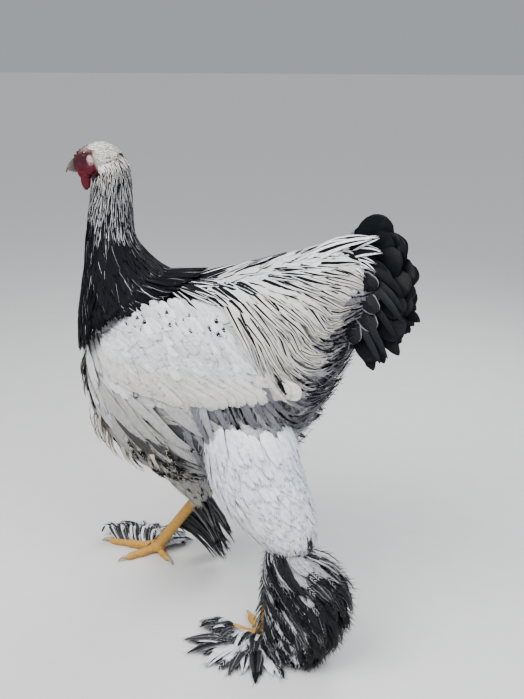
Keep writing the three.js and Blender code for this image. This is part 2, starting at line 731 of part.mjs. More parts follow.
const swollenTrunk = trunk(gap);
const swollenSkull = skull(gap);
const hackleRoom = join(hackle(gap));
const eyeBall = (sign, radius) => ball(...eyePlace(sign), radius, radius, radius, 10, 7);
const eyes = [1, -1].map((sign) => eyeBall(sign, eyeRadius));
const sockets = [1, -1].map((sign) => eyeBall(sign, eyeRadius + gap));

const plumeRoom = join([...saddle(gap), ...fluff(gap)]);
const thighRooms = {};
for (const side of Object.keys(legs)) thighRooms[side] = join([thigh(side, gap), ...thighFringe(side, gap)]);
const loosePlumes = cut(join(fluff()), ...Object.values(thighRooms));
bird.add(part("torso", join([trunk(), ...saddle(), loosePlumes]), materials.white));
const neckWhole = join([neck(), ...hackle()]);
bird.add(part("neck", cut(neckWhole, swollenTrunk, plumeRoom, posed(swollenSkull)), materials.hackle));
const skullAndLids = join([skull(), lids(1), lids(-1)]);
head.add(part("head", cut(skullAndLids, ...sockets, gapeLine(1), gapeLine(-1)), materials.skin));
["left", "right"].forEach((side, i) => head.add(part(`eye_${side}`, eyes[i], materials.eye)));
head.add(part("beak_upper", cut(beakUpper(), swollenSkull, nostril(1), nostril(-1)), materials.horn));
head.add(part("beak_lower", cut(beakLower(), swollenSkull), materials.horn));
head.add(part("comb", cut(comb(), swollenSkull), materials.skin));
const neckRoom = join([neck(gap), hackleRoom]);
const neckByHead = neckRoom.transform(headPose.clone().invert().elements);
const lowerBeakRoom = ball(37, 0, -8, 14, 9, 7);
for (const [side, sign] of [["left", 1], ["right", -1]]) {
  const lobe = ball(-3, sign * 18.4, -3, 5.4, 3.4, 7.4, 8, 6);
  head.add(part(`wattle_${side}`, cut(wattle(sign), swollenSkull, neckByHead, lowerBeakRoom), materials.skin));
  head.add(part(`earlobe_${side}`, cut(lobe, swollenSkull, neckByHead), materials.lobe));
}
for (const [side, leg] of Object.entries(legs)) {
  const wingWhole = cut(join([wing(leg.sign), ...wingFeathers(leg.sign)]), swollenTrunk, plumeRoom, neckRoom);
  bird.add(part(`wing_${side}`, cut(wingWhole, thighRooms[side]), materials.white));
  const thighWhole = cut(join([thigh(side), ...thighFringe(side)]), swollenTrunk);
  const shankRoom = join([shank(leg, gap), ...bootFeathers(leg, gap)]);
  bird.add(part(`thigh_${side}`, thighWhole, materials.white));
  const shankWhole = cut(join([shank(leg), ...bootFeathers(leg)]), thighRooms[side], floorBlock);
  bird.add(part(`shank_${side}`, shankWhole, materials.scale));
  const toes = Object.keys(toeList);
  const fan = cut(join(footFeathers(leg)), ...toes.map((which) => claw(leg, which, gap)));
  const foot = join([footPad(leg), ...toes.map((which) => toe(leg, which)), fan]);
  bird.add(part(`foot_${side}`, cut(foot, shankRoom, floorBlock), materials.scale));
  for (const which of toes) {
    bird.add(part(`claw_${side}_${which}`, cut(claw(leg, which), toe(leg, which, gap)), materials.horn));
  }
}
bird.add(part("tail", cut(join([tailStub(), ...tailVanes()]), swollenTrunk, plumeRoom), materials.black));

// The origin goes to the middle of the whole bird's footprint, on the ground.
const box = new THREE.Box3().setFromObject(bird);
const middle = box.getCenter(new THREE.Vector3());
bird.position.set(-middle.x, -middle.y, -box.min.z);
const model = new THREE.Group();
model.add(bird);
export default model;
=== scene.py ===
# %% [markdown]
# This file dresses a still, life-size brahma cockerel. The solids of the frame already hold its size and
# pose. Here one skin takes the place of the flesh, and some ten thousand thin vanes take the place of the
# coarse feathers. The bird walks: its right leg leads, the left one trails, and the head turns a little
# to its right.

# %% The frame and its box
import json
import math

import bpy
import numpy as np
from mathutils import Matrix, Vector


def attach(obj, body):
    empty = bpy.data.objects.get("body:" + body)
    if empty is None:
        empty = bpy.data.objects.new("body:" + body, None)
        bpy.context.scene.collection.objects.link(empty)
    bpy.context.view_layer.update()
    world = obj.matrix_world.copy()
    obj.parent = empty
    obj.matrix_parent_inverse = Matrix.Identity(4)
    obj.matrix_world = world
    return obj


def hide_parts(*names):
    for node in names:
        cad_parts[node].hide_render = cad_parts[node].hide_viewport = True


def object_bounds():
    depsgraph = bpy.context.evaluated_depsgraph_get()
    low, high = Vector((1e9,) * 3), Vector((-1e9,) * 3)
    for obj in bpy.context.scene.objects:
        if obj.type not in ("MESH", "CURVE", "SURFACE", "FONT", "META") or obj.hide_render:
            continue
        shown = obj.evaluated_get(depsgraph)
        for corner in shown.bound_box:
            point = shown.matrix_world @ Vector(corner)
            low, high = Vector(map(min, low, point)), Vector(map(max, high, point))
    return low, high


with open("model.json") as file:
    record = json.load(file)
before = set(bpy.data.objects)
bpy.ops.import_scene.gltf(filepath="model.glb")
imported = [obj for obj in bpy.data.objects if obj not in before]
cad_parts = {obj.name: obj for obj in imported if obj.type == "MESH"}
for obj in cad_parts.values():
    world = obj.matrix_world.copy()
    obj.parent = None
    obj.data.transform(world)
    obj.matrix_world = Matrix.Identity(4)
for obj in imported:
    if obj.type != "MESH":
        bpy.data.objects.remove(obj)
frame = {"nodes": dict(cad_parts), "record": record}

cad_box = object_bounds()
box_size = [round(high - low, 3) for low, high in zip(*cad_box)]
print("the frame holds", len(frame["nodes"]), "nodes in a box", box_size)

# %% [markdown]
# A bird is easier to describe in its own frame: how far forward, left and up a place is from the ground
# under its body, in millimetres. Blender works in metres, with the bird facing -Y and its left side on
# +X. The ball of the left foot is a mount of the frame, so it tells how far the origin was moved.

# %% From the bird's millimetres to Blender's metres
MM = 0.001
hubs = {"left": (-102, 66, 11), "right": (119, -84, 11)}
soles = {mount["name"]: mount["pos_m"] for mount in frame["record"]["mounts"]}
sole_x, sole_y, _ = soles["left_sole"]
shift = np.array([sole_x - hubs["left"][1] * MM, sole_y + hubs["left"][0] * MM, 0])


def to_row(places):
    """Forward, left and up in millimetres become X = left, Y = -forward and Z = up in metres, plus the
    origin's shift."""
    places = np.asarray(places, float)
    return np.stack([places[..., 1], -places[..., 0], places[..., 2]], -1) * MM + shift


def unit(vectors):
    """Each vector divided by its length."""
    return vectors / np.maximum(np.linalg.norm(vectors, axis=-1, keepdims=True), 1e-9)


print("the origin's shift is", shift.round(5))

# %% [markdown]
# The camera stands where the photographer did: to the bird's left and a little behind it, 0.73 m above
# the floor, and looks slightly down. The lens comes from the picture's field of view, and the long side
# of the frame is its height.

# %% The camera
camera_place = (-353, 899, 731)
camera_look = (0.2747, -0.8986, -0.342)
focal_pixels = 800
frame_height = 699
sensor = 36


def point_at(obj, place, direction):
    """Puts an object at a place of the bird's frame, its -Z along the direction and its X level."""
    back = -unit(np.array([direction[1], -direction[0], direction[2]], float))
    right = unit(np.cross([0, 0, 1], back))
    turned = np.eye(4)
    turned[:3, :3] = np.stack([right, np.cross(back, right), back], 1)
    turned[:3, 3] = to_row(place)
    obj.matrix_world = Matrix(turned.tolist())
    bpy.context.scene.collection.objects.link(obj)
    return obj


camera = point_at(bpy.data.objects.new("camera", bpy.data.cameras.new("camera")), camera_place, camera_look)
camera.data.sensor_width = sensor
camera.data.lens = focal_pixels / frame_height * sensor
camera.data.clip_start = 0.01
bpy.context.scene.camera = camera
print("the lens is", round(camera.data.lens, 1), "mm")

# %% [markdown]
# Every surface below is worked out as whole arrays and handed to Blender at once. One helper turns arrays
# of points and triangles into a mesh object. It can also carry a UV map and numbers for each point, which
# the materials read.

# %% Arrays to a mesh
def mesh_piece(name, points, triangles, uvs=None, numbers=None, sharp=None):
    """A mesh from points (n, 3) in bird millimetres and triangles (m, 3). uvs: {map name: (n, 2)}.
    numbers: {name: (n, 3)}. sharp(a, b) says which edges, given as two arrays of point numbers, break the
    shading."""
    mesh = bpy.data.meshes.new(name)
    mesh.vertices.add(len(points))
    mesh.vertices.foreach_set("co", to_row(points).astype(np.float32).ravel())
    mesh.loops.add(triangles.size)
    mesh.loops.foreach_set("vertex_index", triangles.astype(np.int32).ravel())
    mesh.polygons.add(len(triangles))
    mesh.polygons.foreach_set("loop_start", np.arange(0, triangles.size, 3, dtype=np.int32))
    mesh.polygons.foreach_set("use_smooth", np.ones(len(triangles), bool))
    mesh.update(calc_edges=True)
    for label, values in (uvs or {}).items():
        layer = mesh.uv_layers.new(name=label)
        layer.uv.foreach_set("vector", values[triangles.ravel()].astype(np.float32).ravel())
    for label, values in (numbers or {}).items():
        attribute = mesh.attributes.new(label, "FLOAT_VECTOR", "POINT")
        attribute.data.foreach_set("vector", values.astype(np.float32).ravel())
    if sharp is not None:
        ends = np.zeros(len(mesh.edges) * 2, np.int32)
        mesh.edges.foreach_get("vertices", ends)
        marked = mesh.attributes.new("sharp_edge", "BOOLEAN", "EDGE")
        marked.data.foreach_set("value", sharp(ends[0::2], ends[1::2]))
    obj = bpy.data.objects.new(name, mesh)
    bpy.context.scene.collection.objects.link(obj)
    return obj


# %% [markdown]
# A loft is a row of closed rings of points. Its faces need only the points' numbers, and the sign of the
# volume that they close tells which way they face.

# %% Faces of a loft
def grid_faces(rings, sides):
    """Triangles of a closed loft of rings, numbered ring by ring: a band between rings, and a fan over
    each end."""
    i, j = np.meshgrid(np.arange(rings - 1), np.arange(sides), indexing="ij")
    a, b = i * sides + j, i * sides + (j + 1) % sides
    c, d = a + sides, b + sides
    band = np.concatenate([np.stack([a, b, d], -1).reshape(-1, 3), np.stack([a, d, c], -1).reshape(-1, 3)])
    k = np.arange(1, sides - 1)
    last = (rings - 1) * sides
    first_cap = np.stack([np.zeros_like(k), k + 1, k], -1)
    last_cap = np.stack([np.full_like(k, last), last + k, last + k + 1], -1)
    return np.concatenate([band, first_cap, last_cap])


def facing_out(points, triangles):
    """The triangles, turned round if the volume that they close is negative."""
    a, b, c = (points[triangles[:, k]] for k in range(3))
    return triangles if np.einsum("ij,ij->", a, np.cross(b, c)) > 0 else triangles[:, ::-1]


print("a loft of 3 rings of 8 points has", len(grid_faces(3, 8)), "triangles")


# %% [markdown]
# The outline of an animal is a row of given sizes with a smooth curve through them. A cubic curve
# whose slope at each row comes from the rows beside it passes through every size and has no kinks.

# %% Smooth curves through rows of sizes
def curve_through(rows):
    """Cubic Hermite curves through rows sorted by their first number. The slope at a row is the rise over
    the run between its two neighbours. The returned function gives the other numbers at any places."""
    table = np.array(rows, float)
    x, y = table[:, 0], table[:, 1:]
    number = np.arange(len(x))
    before, after = np.maximum(number - 1, 0), np.minimum(number + 1, len(x) - 1)
    slope = (y[after] - y[before]) / (x[after] - x[before])[:, None]

    def read(place):
        """The other numbers at places, one array for each column."""
        p = np.clip(place, x[0], x[-1])
        k = np.clip(np.searchsorted(x, p, side="right") - 1, 0, len(x) - 2)
        span = (x[k + 1] - x[k])[..., None]
        t = (p - x[k])[..., None] / span
        level = (1 + 2 * t) * (1 - t) ** 2 * y[k] + t * t * (3 - 2 * t) * y[k + 1]
        curved = level + span * t * (1 - t) * ((1 - t) * slope[k] - t * slope[k + 1])
        return np.moveaxis(curved, -1, 0)

    return read


def rounded(angle, square):
    """A point of a superellipse: angle 0 is the left side and 90 degrees the top. A squareness of 2 is an
    ellipse."""
    c, s = np.cos(angle), np.sin(angle)
    return np.sign(c) * np.abs(c) ** (2 / square), np.sign(s) * np.abs(s) ** (2 / square)


def crossed(values, sides):
    """Every value with every one of the angles of a ring of that many sides."""
    return np.meshgrid(values, np.arange(sides) * 2 * np.pi / sides, indexing="ij")


def mix(a, b, t):
    """From a to b by the share t."""
    return a + (b - a) * t


def ease(low, high, value):
    """Rises smoothly from 0 to 1 between low and high."""
    t = np.clip((value - low) / (high - low), 0, 1)
    return t * t * (3 - 2 * t)


print("halfway up, ease gives", float(ease(0, 1, 0.5)))

# %% [markdown]
# Every form below answers the same question: where is the place at these two parameters, and which way is
# out? Feathers are laid over a form by asking it, and its own body is a loft of such places.

# %% Forms
class Form:
    """A surface given by place(along, angle), which can also tell the way out of itself: the cross
    product of its two tangents, turned to point away from its middle line."""

    def __init__(self, place, middle, ends, step=1.0):
        self.place, self.middle, self.ends, self.step = place, middle, ends, step

    def read(self, along, angle, lift=0.0):
        """Places at a height over the surface, and the way out there."""
        place = self.place(along, angle)
        first = self.place(along + self.step, angle) - self.place(along - self.step, angle)
        second = self.place(along, angle + 0.01) - self.place(along, angle - 0.01)
        out = unit(np.cross(first, second))
        out *= np.sign(np.sum(out * (place - self.middle(along)), -1, keepdims=True))
        return place + out * np.asarray(lift)[..., None], out

    def loft(self, rings, sides, lift=0.0):
        """The closed body inside the surface, as points and triangles."""
        share = 0.5 - 0.5 * np.cos(np.pi * np.arange(rings) / (rings - 1))
        along, angle = crossed(mix(*self.ends, share), sides)
        points = self.read(along, angle, np.full(along.shape, float(lift)))[0].reshape(-1, 3)
        return points, facing_out(points, grid_faces(rings, sides))


# %% [markdown]
# The trunk is a chain of upright sections from tail to breast, flat over the back and round under the
# belly. It repeats the sizes of the solids in the frame, as the neck, the thighs and the head do further
# down.

# %% Trunk
trunk_rows = curve_through([
    [-206, 522, 494, 466, 12], [-190, 530, 484, 432, 30], [-160, 524, 450, 360, 54],
    [-120, 510, 420, 283, 76],
    [-70, 495, 400, 240, 88], [-15, 480, 385, 221, 94], [36, 474, 375, 217, 94], [84, 468, 368, 229, 87],
    [118, 458, 364, 252, 73], [142, 440, 362, 290, 52], [153, 410, 360, 324, 30], [157, 378, 360, 346, 11],
])
back_square, belly_square = 2.9, 2.15


def trunk_place(forward, angle):
    """Left = half width times the superellipse's side; up = belt plus its rise times the room above or
    below the belt."""
    top, belt, bottom, half = trunk_rows(forward)
    upper = np.sin(angle) >= 0
    (side_up, rise_up), (side_low, rise_low) = rounded(angle, back_square), rounded(angle, belly_square)
    side = np.where(upper, side_up, side_low)
    rise = np.where(upper, rise_up * (top - belt), rise_low * (belt - bottom))
    return np.stack([forward + 0 * side, side * half, belt + rise], -1)


def trunk_middle(forward):
    """The line along the middle of the trunk, at the height of its belt."""
    return np.stack([forward, 0 * forward, trunk_rows(forward)[1]], -1)


def level_form(rows, ends):
    """A form of level ellipses going up: forward = centre + sine times depth, left = shift + cosine times
    width."""
    read = curve_through(rows)

    def place(up, angle):
        """The place at a height and an angle."""
        centre, depth, width, shift_left = read(up)
        left = shift_left + np.cos(angle) * width
        return np.stack([centre + np.sin(angle) * depth, left, up + 0 * angle], -1)

    def middle(up):
        """The form's middle line."""
        centre, _, _, shift_left = read(up)
        return np.stack([centre, shift_left, up], -1)

    return Form(place, middle, ends)


trunk = Form(trunk_place, trunk_middle, (-206.0, 157.0))
print("the trunk is", trunk.ends[1] - trunk.ends[0], "mm long")

# %% [markdown]
# The neck and the thighs are chains of level sections, each given by its height, the place of its centre
# and its two half widths.

# %% Neck and thighs
neck = level_form([
    [425, 84, 60, 68, 0], [460, 93, 51, 62, 0], [486, 106, 37, 44, 0], [512, 118, 26, 27, -1],
    [549, 120, 22, 21, -3], [581, 120, 18, 17, -5], [605, 122, 16, 16, -7],
], (425.0, 605.0))
thighs = {
    "left": level_form([
        [158, -134, 20, 14, 78], [170, -131, 33, 24, 77], [200, -113, 51, 33, 75], [235, -96, 58, 38, 72],
        [270, -85, 56, 40, 68], [310, -76, 57, 42, 60], [345, -62, 51, 38, 50],
    ], (158.0, 345.0)),
    "right": level_form([
        [116, 42, 10, 9, -72], [128, 46, 20, 17, -72], [148, 56, 29, 24, -71], [170, 64, 36, 30, -69],
        [205, 66, 46, 36, -66], [250, 58, 54, 40, -60], [300, 45, 56, 40, -52], [340, 35, 46, 34, -45],
    ], (116.0, 340.0)),
}
print("the thighs are", [form.ends[1] - form.ends[0] for form in thighs.values()], "mm tall")

# %% [markdown]
# The cape is the bell on which the hackle lies: it leaves the neck under the head and spreads over the
# shoulders, lower in front than behind.

# %% Cape
cape_rows = curve_through([
    [-1, 131, 608, 26, 18, 84], [-0.6, 125, 603, 25, 19, 54], [0, 119, 594, 24, 20, 17],
    [1, 121, 549, 26, 25, 0], [2, 121, 512, 30, 31, 3], [3, 106, 476, 44, 56, 1],
    [4, 86, 444, 70, 86, 12], [5, 70, 425, 97, 100, 27], [5.5, 58, 423, 115, 106, 29],
])
head_lean = 6


def cape_place(along, angle):
    """Rings round the neck, each tipped down to the front by its last number, in degrees."""
    forward, up, depth, width, tip = cape_rows(along)
    ahead, fall = np.sin(angle) * depth, np.radians(tip)
    left = np.cos(angle) * width - head_lean * np.maximum(1 - along / 2, 0)
    return np.stack([forward + ahead * np.cos(fall), left, up - ahead * np.sin(fall)], -1)


def cape_middle(along):
    """The line inside the cape, a little under the middle of its rings."""
    forward, up, *_ = cape_rows(along)
    return np.stack([forward, 0 * forward, up - 30], -1)


cape = Form(cape_place, cape_middle, (-1.0, 5.5), step=0.01)
print("the cape's hem is at", [round(float(v)) for v in cape_rows(np.array(5.5))[:2]], "mm forward and up")

# %% [markdown]
# The wing's outer face is a flat bulge that leans in over the back. The feathers lie on it; the flesh
# below is a whole closed body, a little smaller.

# %% Wings' shapes
wing_rows = curve_through([
    [-128, 398, 364, 78, 4], [-100, 430, 350, 84, 8], [-55, 458, 346, 90, 10], [-10, 466, 346, 94, 11],
    [35, 460, 354, 94, 11], [75, 442, 366, 88, 10], [98, 424, 382, 80, 8], [106, 412, 394, 74, 4],
])
wing_lean, wing_square = 20, 2.3
wing_ends = (-128.0, 106.0)


def wing_form(sign):
    """The wing's outer face. Height is a share from its lower edge to its upper one."""
    def place(forward, height):
        """Left = the centre, less the lean over the belt, plus the bulge."""
        top, bottom, centre, half = wing_rows(forward)
        rise = 2 * height - 1
        bulge = half * np.sqrt(np.maximum(1 - np.minimum(np.abs(rise), 1) ** wing_square, 0))
        left = sign * (centre - wing_lean * np.maximum(rise, 0) ** 2 + bulge)
        return np.stack([forward + 0 * rise, left, mix(bottom, top, height)], -1)

    def read(forward, height, lift=0.0):
        """Places at a height over the face. Out is sideways and a little up or down."""
        rise = 2 * height - 1
        out = unit(np.stack([0 * rise, sign + 0 * rise, 0.35 * rise], -1))
        return place(forward, height) + out * np.asarray(lift)[..., None], out

    form = Form(place, None, wing_ends)
    form.read = read
    return form


def wing_loft(sign, rings=24, sides=24):
    """The whole closed wing, an upright superellipse at each place along the bird."""
    share = 0.5 - 0.5 * np.cos(np.pi * np.arange(rings) / (rings - 1))
    forward, angle = crossed(mix(*wing_ends, share), sides)
    top, bottom, centre, half = wing_rows(forward)
    side, rise = rounded(angle, wing_square)
    left = sign * (centre - wing_lean * np.maximum(rise, 0) ** 2 + side * half * 0.6)
    points = np.stack([forward, left, (top + bottom) / 2 + rise * (top - bottom) * 0.46], -1).reshape(-1, 3)
    return points, facing_out(points, grid_faces(rings, sides))


wings = {"left": wing_form(1), "right": wing_form(-1)}
print("a wing is", wing_ends[1] - wing_ends[0], "mm long")

# %% [markdown]
# The head is modelled round its own centre, facing along its first axis, and is then turned and nodded as
# in the picture.

# %% The head's own frame
head_centre = np.array([137, -8, 613])
head_turn, head_nod = math.radians(11), math.radians(9)
head_level = math.cos(head_nod)
turn_cosine, turn_sine = math.cos(head_turn), math.sin(head_turn)
head_ahead = np.array([head_level * turn_cosine, -head_level * turn_sine, -math.sin(head_nod)])
head_left = np.array([turn_sine, turn_cosine, 0])
head_axes = np.stack([head_ahead, head_left, np.cross(head_ahead, head_left)])


def from_head(places):
    """Places in the head's frame, carried into the bird's."""
    return head_centre + np.asarray(places, float) @ head_axes


print("the head looks", head_ahead.round(2).tolist())

# %% [markdown]
# The skull is a chain of upright sections from the nape to the root of the beak.

# %% Skull
skull_rows = curve_through([
    [-38, 2, 0, -5, 3], [-30, 8, 1, -12, 10], [-22, 15, 2, -18, 15.5], [-8, 21, 4, -22, 18.5],
    [6, 21, 4, -23, 18.5],
    [18, 17, 2, -21, 15], [28, 12, -1, -16, 11], [34, 7, -3, -12, 8],
])


def skull_place(x, angle):
    """Sections across the head: half width times cosine, and sine times the room above or below the
    widest height."""
    top, belt, bottom, half = skull_rows(x)
    rise = np.where(np.sin(angle) > 0, np.sin(angle) * (top - belt), np.sin(angle) * (belt - bottom))
    return np.stack([x + 0 * angle, np.cos(angle) * half, belt + rise], -1)


def skull_middle(x):
    """The line along the middle of the head."""
    return np.stack([x, 0 * x, skull_rows(x)[1]], -1)


skull = Form(skull_place, skull_middle, (-30.0, 34.0))
print("the skull is", skull.ends[1] - skull.ends[0], "mm long")

# %% [markdown]
# Balls make up the face and the joints of the legs. A ball's points come from two angles, one down from
# its pole and one round it.

# %% Balls


def ellipsoid(centre, radii, rings=24, sides=24, turn=0.0):
    """Points of an ellipsoid: the middle plus the radii times sines and cosines of two angles, turned
    about the left axis."""
    polar, angle = crossed(np.linspace(0.02, np.pi - 0.02, rings), sides)
    level = np.sin(polar)
    local = np.stack([level * np.cos(angle), level * np.sin(angle), np.cos(polar)], -1) * radii
    c, s = math.cos(turn), math.sin(turn)
    x, z = local[..., 0] * c + local[..., 2] * s, -local[..., 0] * s + local[..., 2] * c
    points = np.stack([x, local[..., 1], z], -1).reshape(-1, 3) + np.array(centre, float)
    return points, facing_out(points, grid_faces(rings, sides))


# %% [markdown]
# Shanks and toes are tubes along a few points. A tube's rings stand square to the curve, each with its
# own two half widths, so that a toe can swell at its joints.

# %% Tubes along a curve
def through(points, t):
    """A Catmull-Rom curve through the points, at shares t of its length, and its direction."""
    points = np.array(points, float)
    padded = np.concatenate([[2 * points[0] - points[1]], points, [2 * points[-1] - points[-2]]])
    s = np.clip(t, 0, 1) * (len(points) - 1)
    k = np.minimum(s.astype(int), len(points) - 2)
    u = (s - k)[:, None]
    a, b, c, d = (padded[k + n] for n in range(4))
    place = 0.5 * (2 * b + (c - a) * u + (2 * a - 5 * b + 4 * c - d) * u**2 + (3 * b - a - 3 * c + d) * u**3)
    slope = 0.5 * ((c - a) + 2 * (2 * a - 5 * b + 4 * c - d) * u + 3 * (3 * b - a - 3 * c + d) * u**2)
    return place, unit(slope)


def tube(points, sizes, rings=24, sides=20):
    """Rings of ellipses along the curve: across is level, tall is square to both."""
    t = np.linspace(0, 1, rings)
    place, along = through(points, t)
    level = np.cross([0, 0, 1], along)
    level = unit(np.where(np.linalg.norm(level, axis=-1, keepdims=True) < 0.2, [0.0, 1.0, 0.0], level))
    rise = np.cross(along, level)
    shares = np.linspace(0, 1, len(sizes))
    across, tall = (np.interp(t, shares, np.array(sizes, float)[:, k]) for k in (0, 1))
    angle = np.arange(sides) * 2 * np.pi / sides
    ring = level[:, None] * (np.cos(angle)[None, :, None] * across[:, None, None])
    ring = ring + rise[:, None] * (np.sin(angle)[None, :, None] * tall[:, None, None])
    body = (place[:, None] + ring).reshape(-1, 3)
    return body, facing_out(body, grid_faces(rings, sides))


# %% [markdown]
# A shank runs from the hock to the ball of the foot, and four toes leave the ball at their own angles. A
# toe swells at each joint, so its half widths go up and down along it.

# %% Legs and toes
legs = {
    "left": {"sign": 1, "hock": (-116, 78, 156), "hub": hubs["left"], "turn": -6},
    "right": {"sign": -1, "hock": (40, -72, 122), "hub": hubs["right"], "turn": 0},
}
shank_sizes = [[9, 11], [9, 12], [8, 10.5], [7, 8.5], [7, 8], [8, 9]]
toe_list = {
    "middle": {"aim": 0, "length": 84, "thick": 7}, "inner": {"aim": 44, "length": 52, "thick": 6.5},
    "outer": {"aim": -38, "length": 62, "thick": 6.5}, "hind": {"aim": 142, "length": 34, "thick": 5.5},
}
sole_press, claw_length = 0.6, 14
toe_swelling = [1.2, 1.02, 1.12, 0.9, 1.04, 1.08, 0.84, 0.96, 0.92, 0.55]


def toe_line(leg, which):
    """A function that gives the place at a distance from the ball of the foot along a toe, at a height."""
    turned = math.radians(toe_list[which]["aim"] * -leg["sign"] + leg["turn"] * leg["sign"])
    out = np.array([math.cos(turned), math.sin(turned), 0])
    return lambda distance, up: np.array([*leg["hub"][:2], 0]) + out * distance + np.array([0, 0, up])


def toe_tube(leg, which):
    """A toe from the ball of the foot to its tip, with a pad under each joint."""
    length, thick = toe_list[which]["length"], toe_list[which]["thick"]
    place = toe_line(leg, which)
    line = [place(0, 11), place(length * 0.3, thick - sole_press),
            place(length * 0.65, thick * 0.9 - sole_press), place(length, 4.2)]
    return tube(line, [[share * thick * 0.92, share * thick] for share in toe_swelling], rings=40)


def shank_tube(leg):
    """The bare shank, from a little over the hock down to the ball of the foot."""
    top, low = np.array(leg["hock"], float), np.array(leg["hub"], float)
    return tube([mix(top, low, -0.12), top, low], shank_sizes, rings=40)


print(len(legs), "legs with", len(toe_list), "toes each")


# %% [markdown]
# The skin is one closed surface, so no seam shows where a leg or the neck leaves the body. The lofts are
# put together and remeshed with small cubes, which melts them into one. The head and the feet, where the
# bare skin shows, are remeshed more finely and sink into the coarser body under the feathers.

# %% Melting lofts into one skin
def gather(bodies):
    """Several (points, triangles) as one."""
    counts = np.cumsum([0] + [len(points) for points, _ in bodies])
    return (np.concatenate([points for points, _ in bodies]),
            np.concatenate([triangles + n for (_, triangles), n in zip(bodies, counts)]))


def melted(name, bodies, cube, smoothing):
    """The bodies remeshed into one closed surface with cubes of that size in millimetres, then smoothed."""
    obj = mesh_piece(name, *gather(bodies))
    remesh = obj.modifiers.new("melt", "REMESH")
    remesh.mode, remesh.voxel_size, remesh.use_smooth_shade = "VOXEL", cube * MM, True
    smooth = obj.modifiers.new("soften", "SMOOTH")
    smooth.factor, smooth.iterations = 0.5, smoothing
    made = bpy.data.meshes.new_from_object(obj.evaluated_get(bpy.context.evaluated_depsgraph_get()))
    bpy.data.objects.remove(obj)
    places = np.zeros(len(made.vertices) * 3, np.float32)
    made.vertices.foreach_get("co", places)
    made.calc_loop_triangles()
    corners = np.zeros(len(made.loop_triangles) * 3, np.int32)
    made.loop_triangles.foreach_get("vertices", corners)
    places = (places.reshape(-1, 3) - shift) / MM
    bpy.data.meshes.remove(made)
    print(name, "has", len(corners) // 3, "triangles")
    return np.stack([-places[:, 1], places[:, 0], places[:, 2]], -1), corners.reshape(-1, 3)


# %% [markdown]
# The lofts under the coat are drawn in by its depth, so that the roots of the feathers are under the
# feathers' outer faces and not inside the flesh. The tail's stub is a flat tube.

# %% Body and legs in one skin
coat_depth = 9
cape_core = Form(cape_place, cape_middle, (0.3, 4.6), step=0.01)
trunk_bodies = [trunk.loft(40, 48, -coat_depth), neck.loft(30, 32, -4), cape_core.loft(30, 32, -7)]
trunk_bodies += [wing_loft(1), wing_loft(-1)]
trunk_bodies += [thighs[side].loft(24, 28, -8) for side in thighs]
tail_root = np.array([-184, 0, 484])
tail_stub = tube([tail_root + (14, 0, -4), tail_root + (-12, 0, 0), tail_root + (-36, 0, 4)],
                 [[20, 44], [17, 44], [11, 36], [4, 18]])
body_cube, leg_cube, face_cube = 3.2, 1.3, 0.7
body_skin = melted("body_skin", trunk_bodies + [tail_stub], body_cube, 6)
leg_bodies = []
for leg in legs.values():
    leg_bodies += [shank_tube(leg), ellipsoid(leg["hub"], (12, 12, 11))]
    leg_bodies += [toe_tube(leg, which) for which in toe_list]
leg_skin = melted("leg_skin", leg_bodies, leg_cube, 3)

# %% [markdown]
# A cock's face is bare skin: a low pea comb of three rows of beads, a brow over the eye, loose cheeks, a
# pale ear lobe and two wattles that hang from the jaw. They are balls and lofts melted finely, so the
# folds run into one another.

# %% Beads and lids
eye_radius = 4.8
eye_places = {"left": (4.6, 14.8, 9.6), "right": (4.6, -14.8, 9.6)}


def bead(x, y, z, radii, turn=0.0):
    """A small ellipsoid at a place of the head's frame."""
    points, triangles = ellipsoid((x, y, z), radii, turn=turn)
    return from_head(points), triangles


def ring_round(centre, sign, radius, thick, yaw, tall=0.86, rings=40, sides=12):
    """A lid: a ring of round section about the eye's outward axis, a little lower than it is long."""
    turn, angle = crossed(np.arange(rings + 1) * 2 * np.pi / rings, sides)
    reach = radius + thick * np.cos(angle)
    local = np.stack([reach * np.cos(turn), sign * thick * np.sin(angle), reach * np.sin(turn) * tall], -1)
    c, s = math.cos(yaw), math.sin(yaw)
    x, y = local[..., 0] * c - local[..., 1] * s, local[..., 0] * s + local[..., 1] * c
    points = np.stack([x, y, local[..., 2]], -1).reshape(-1, 3) + np.array(centre)
    faces = grid_faces(rings + 1, sides)[: -2 * (sides - 2)]
    return from_head(points), facing_out(points, faces)


print("the eyes are", 2 * eye_radius, "mm across")

# %% [markdown]
# The face's balls come in pairs: cheeks, brows, the roots of the beak, the wattles' folds, ear lobes and
# lids. The comb's side rows are pairs too, and its middle row stands alone.

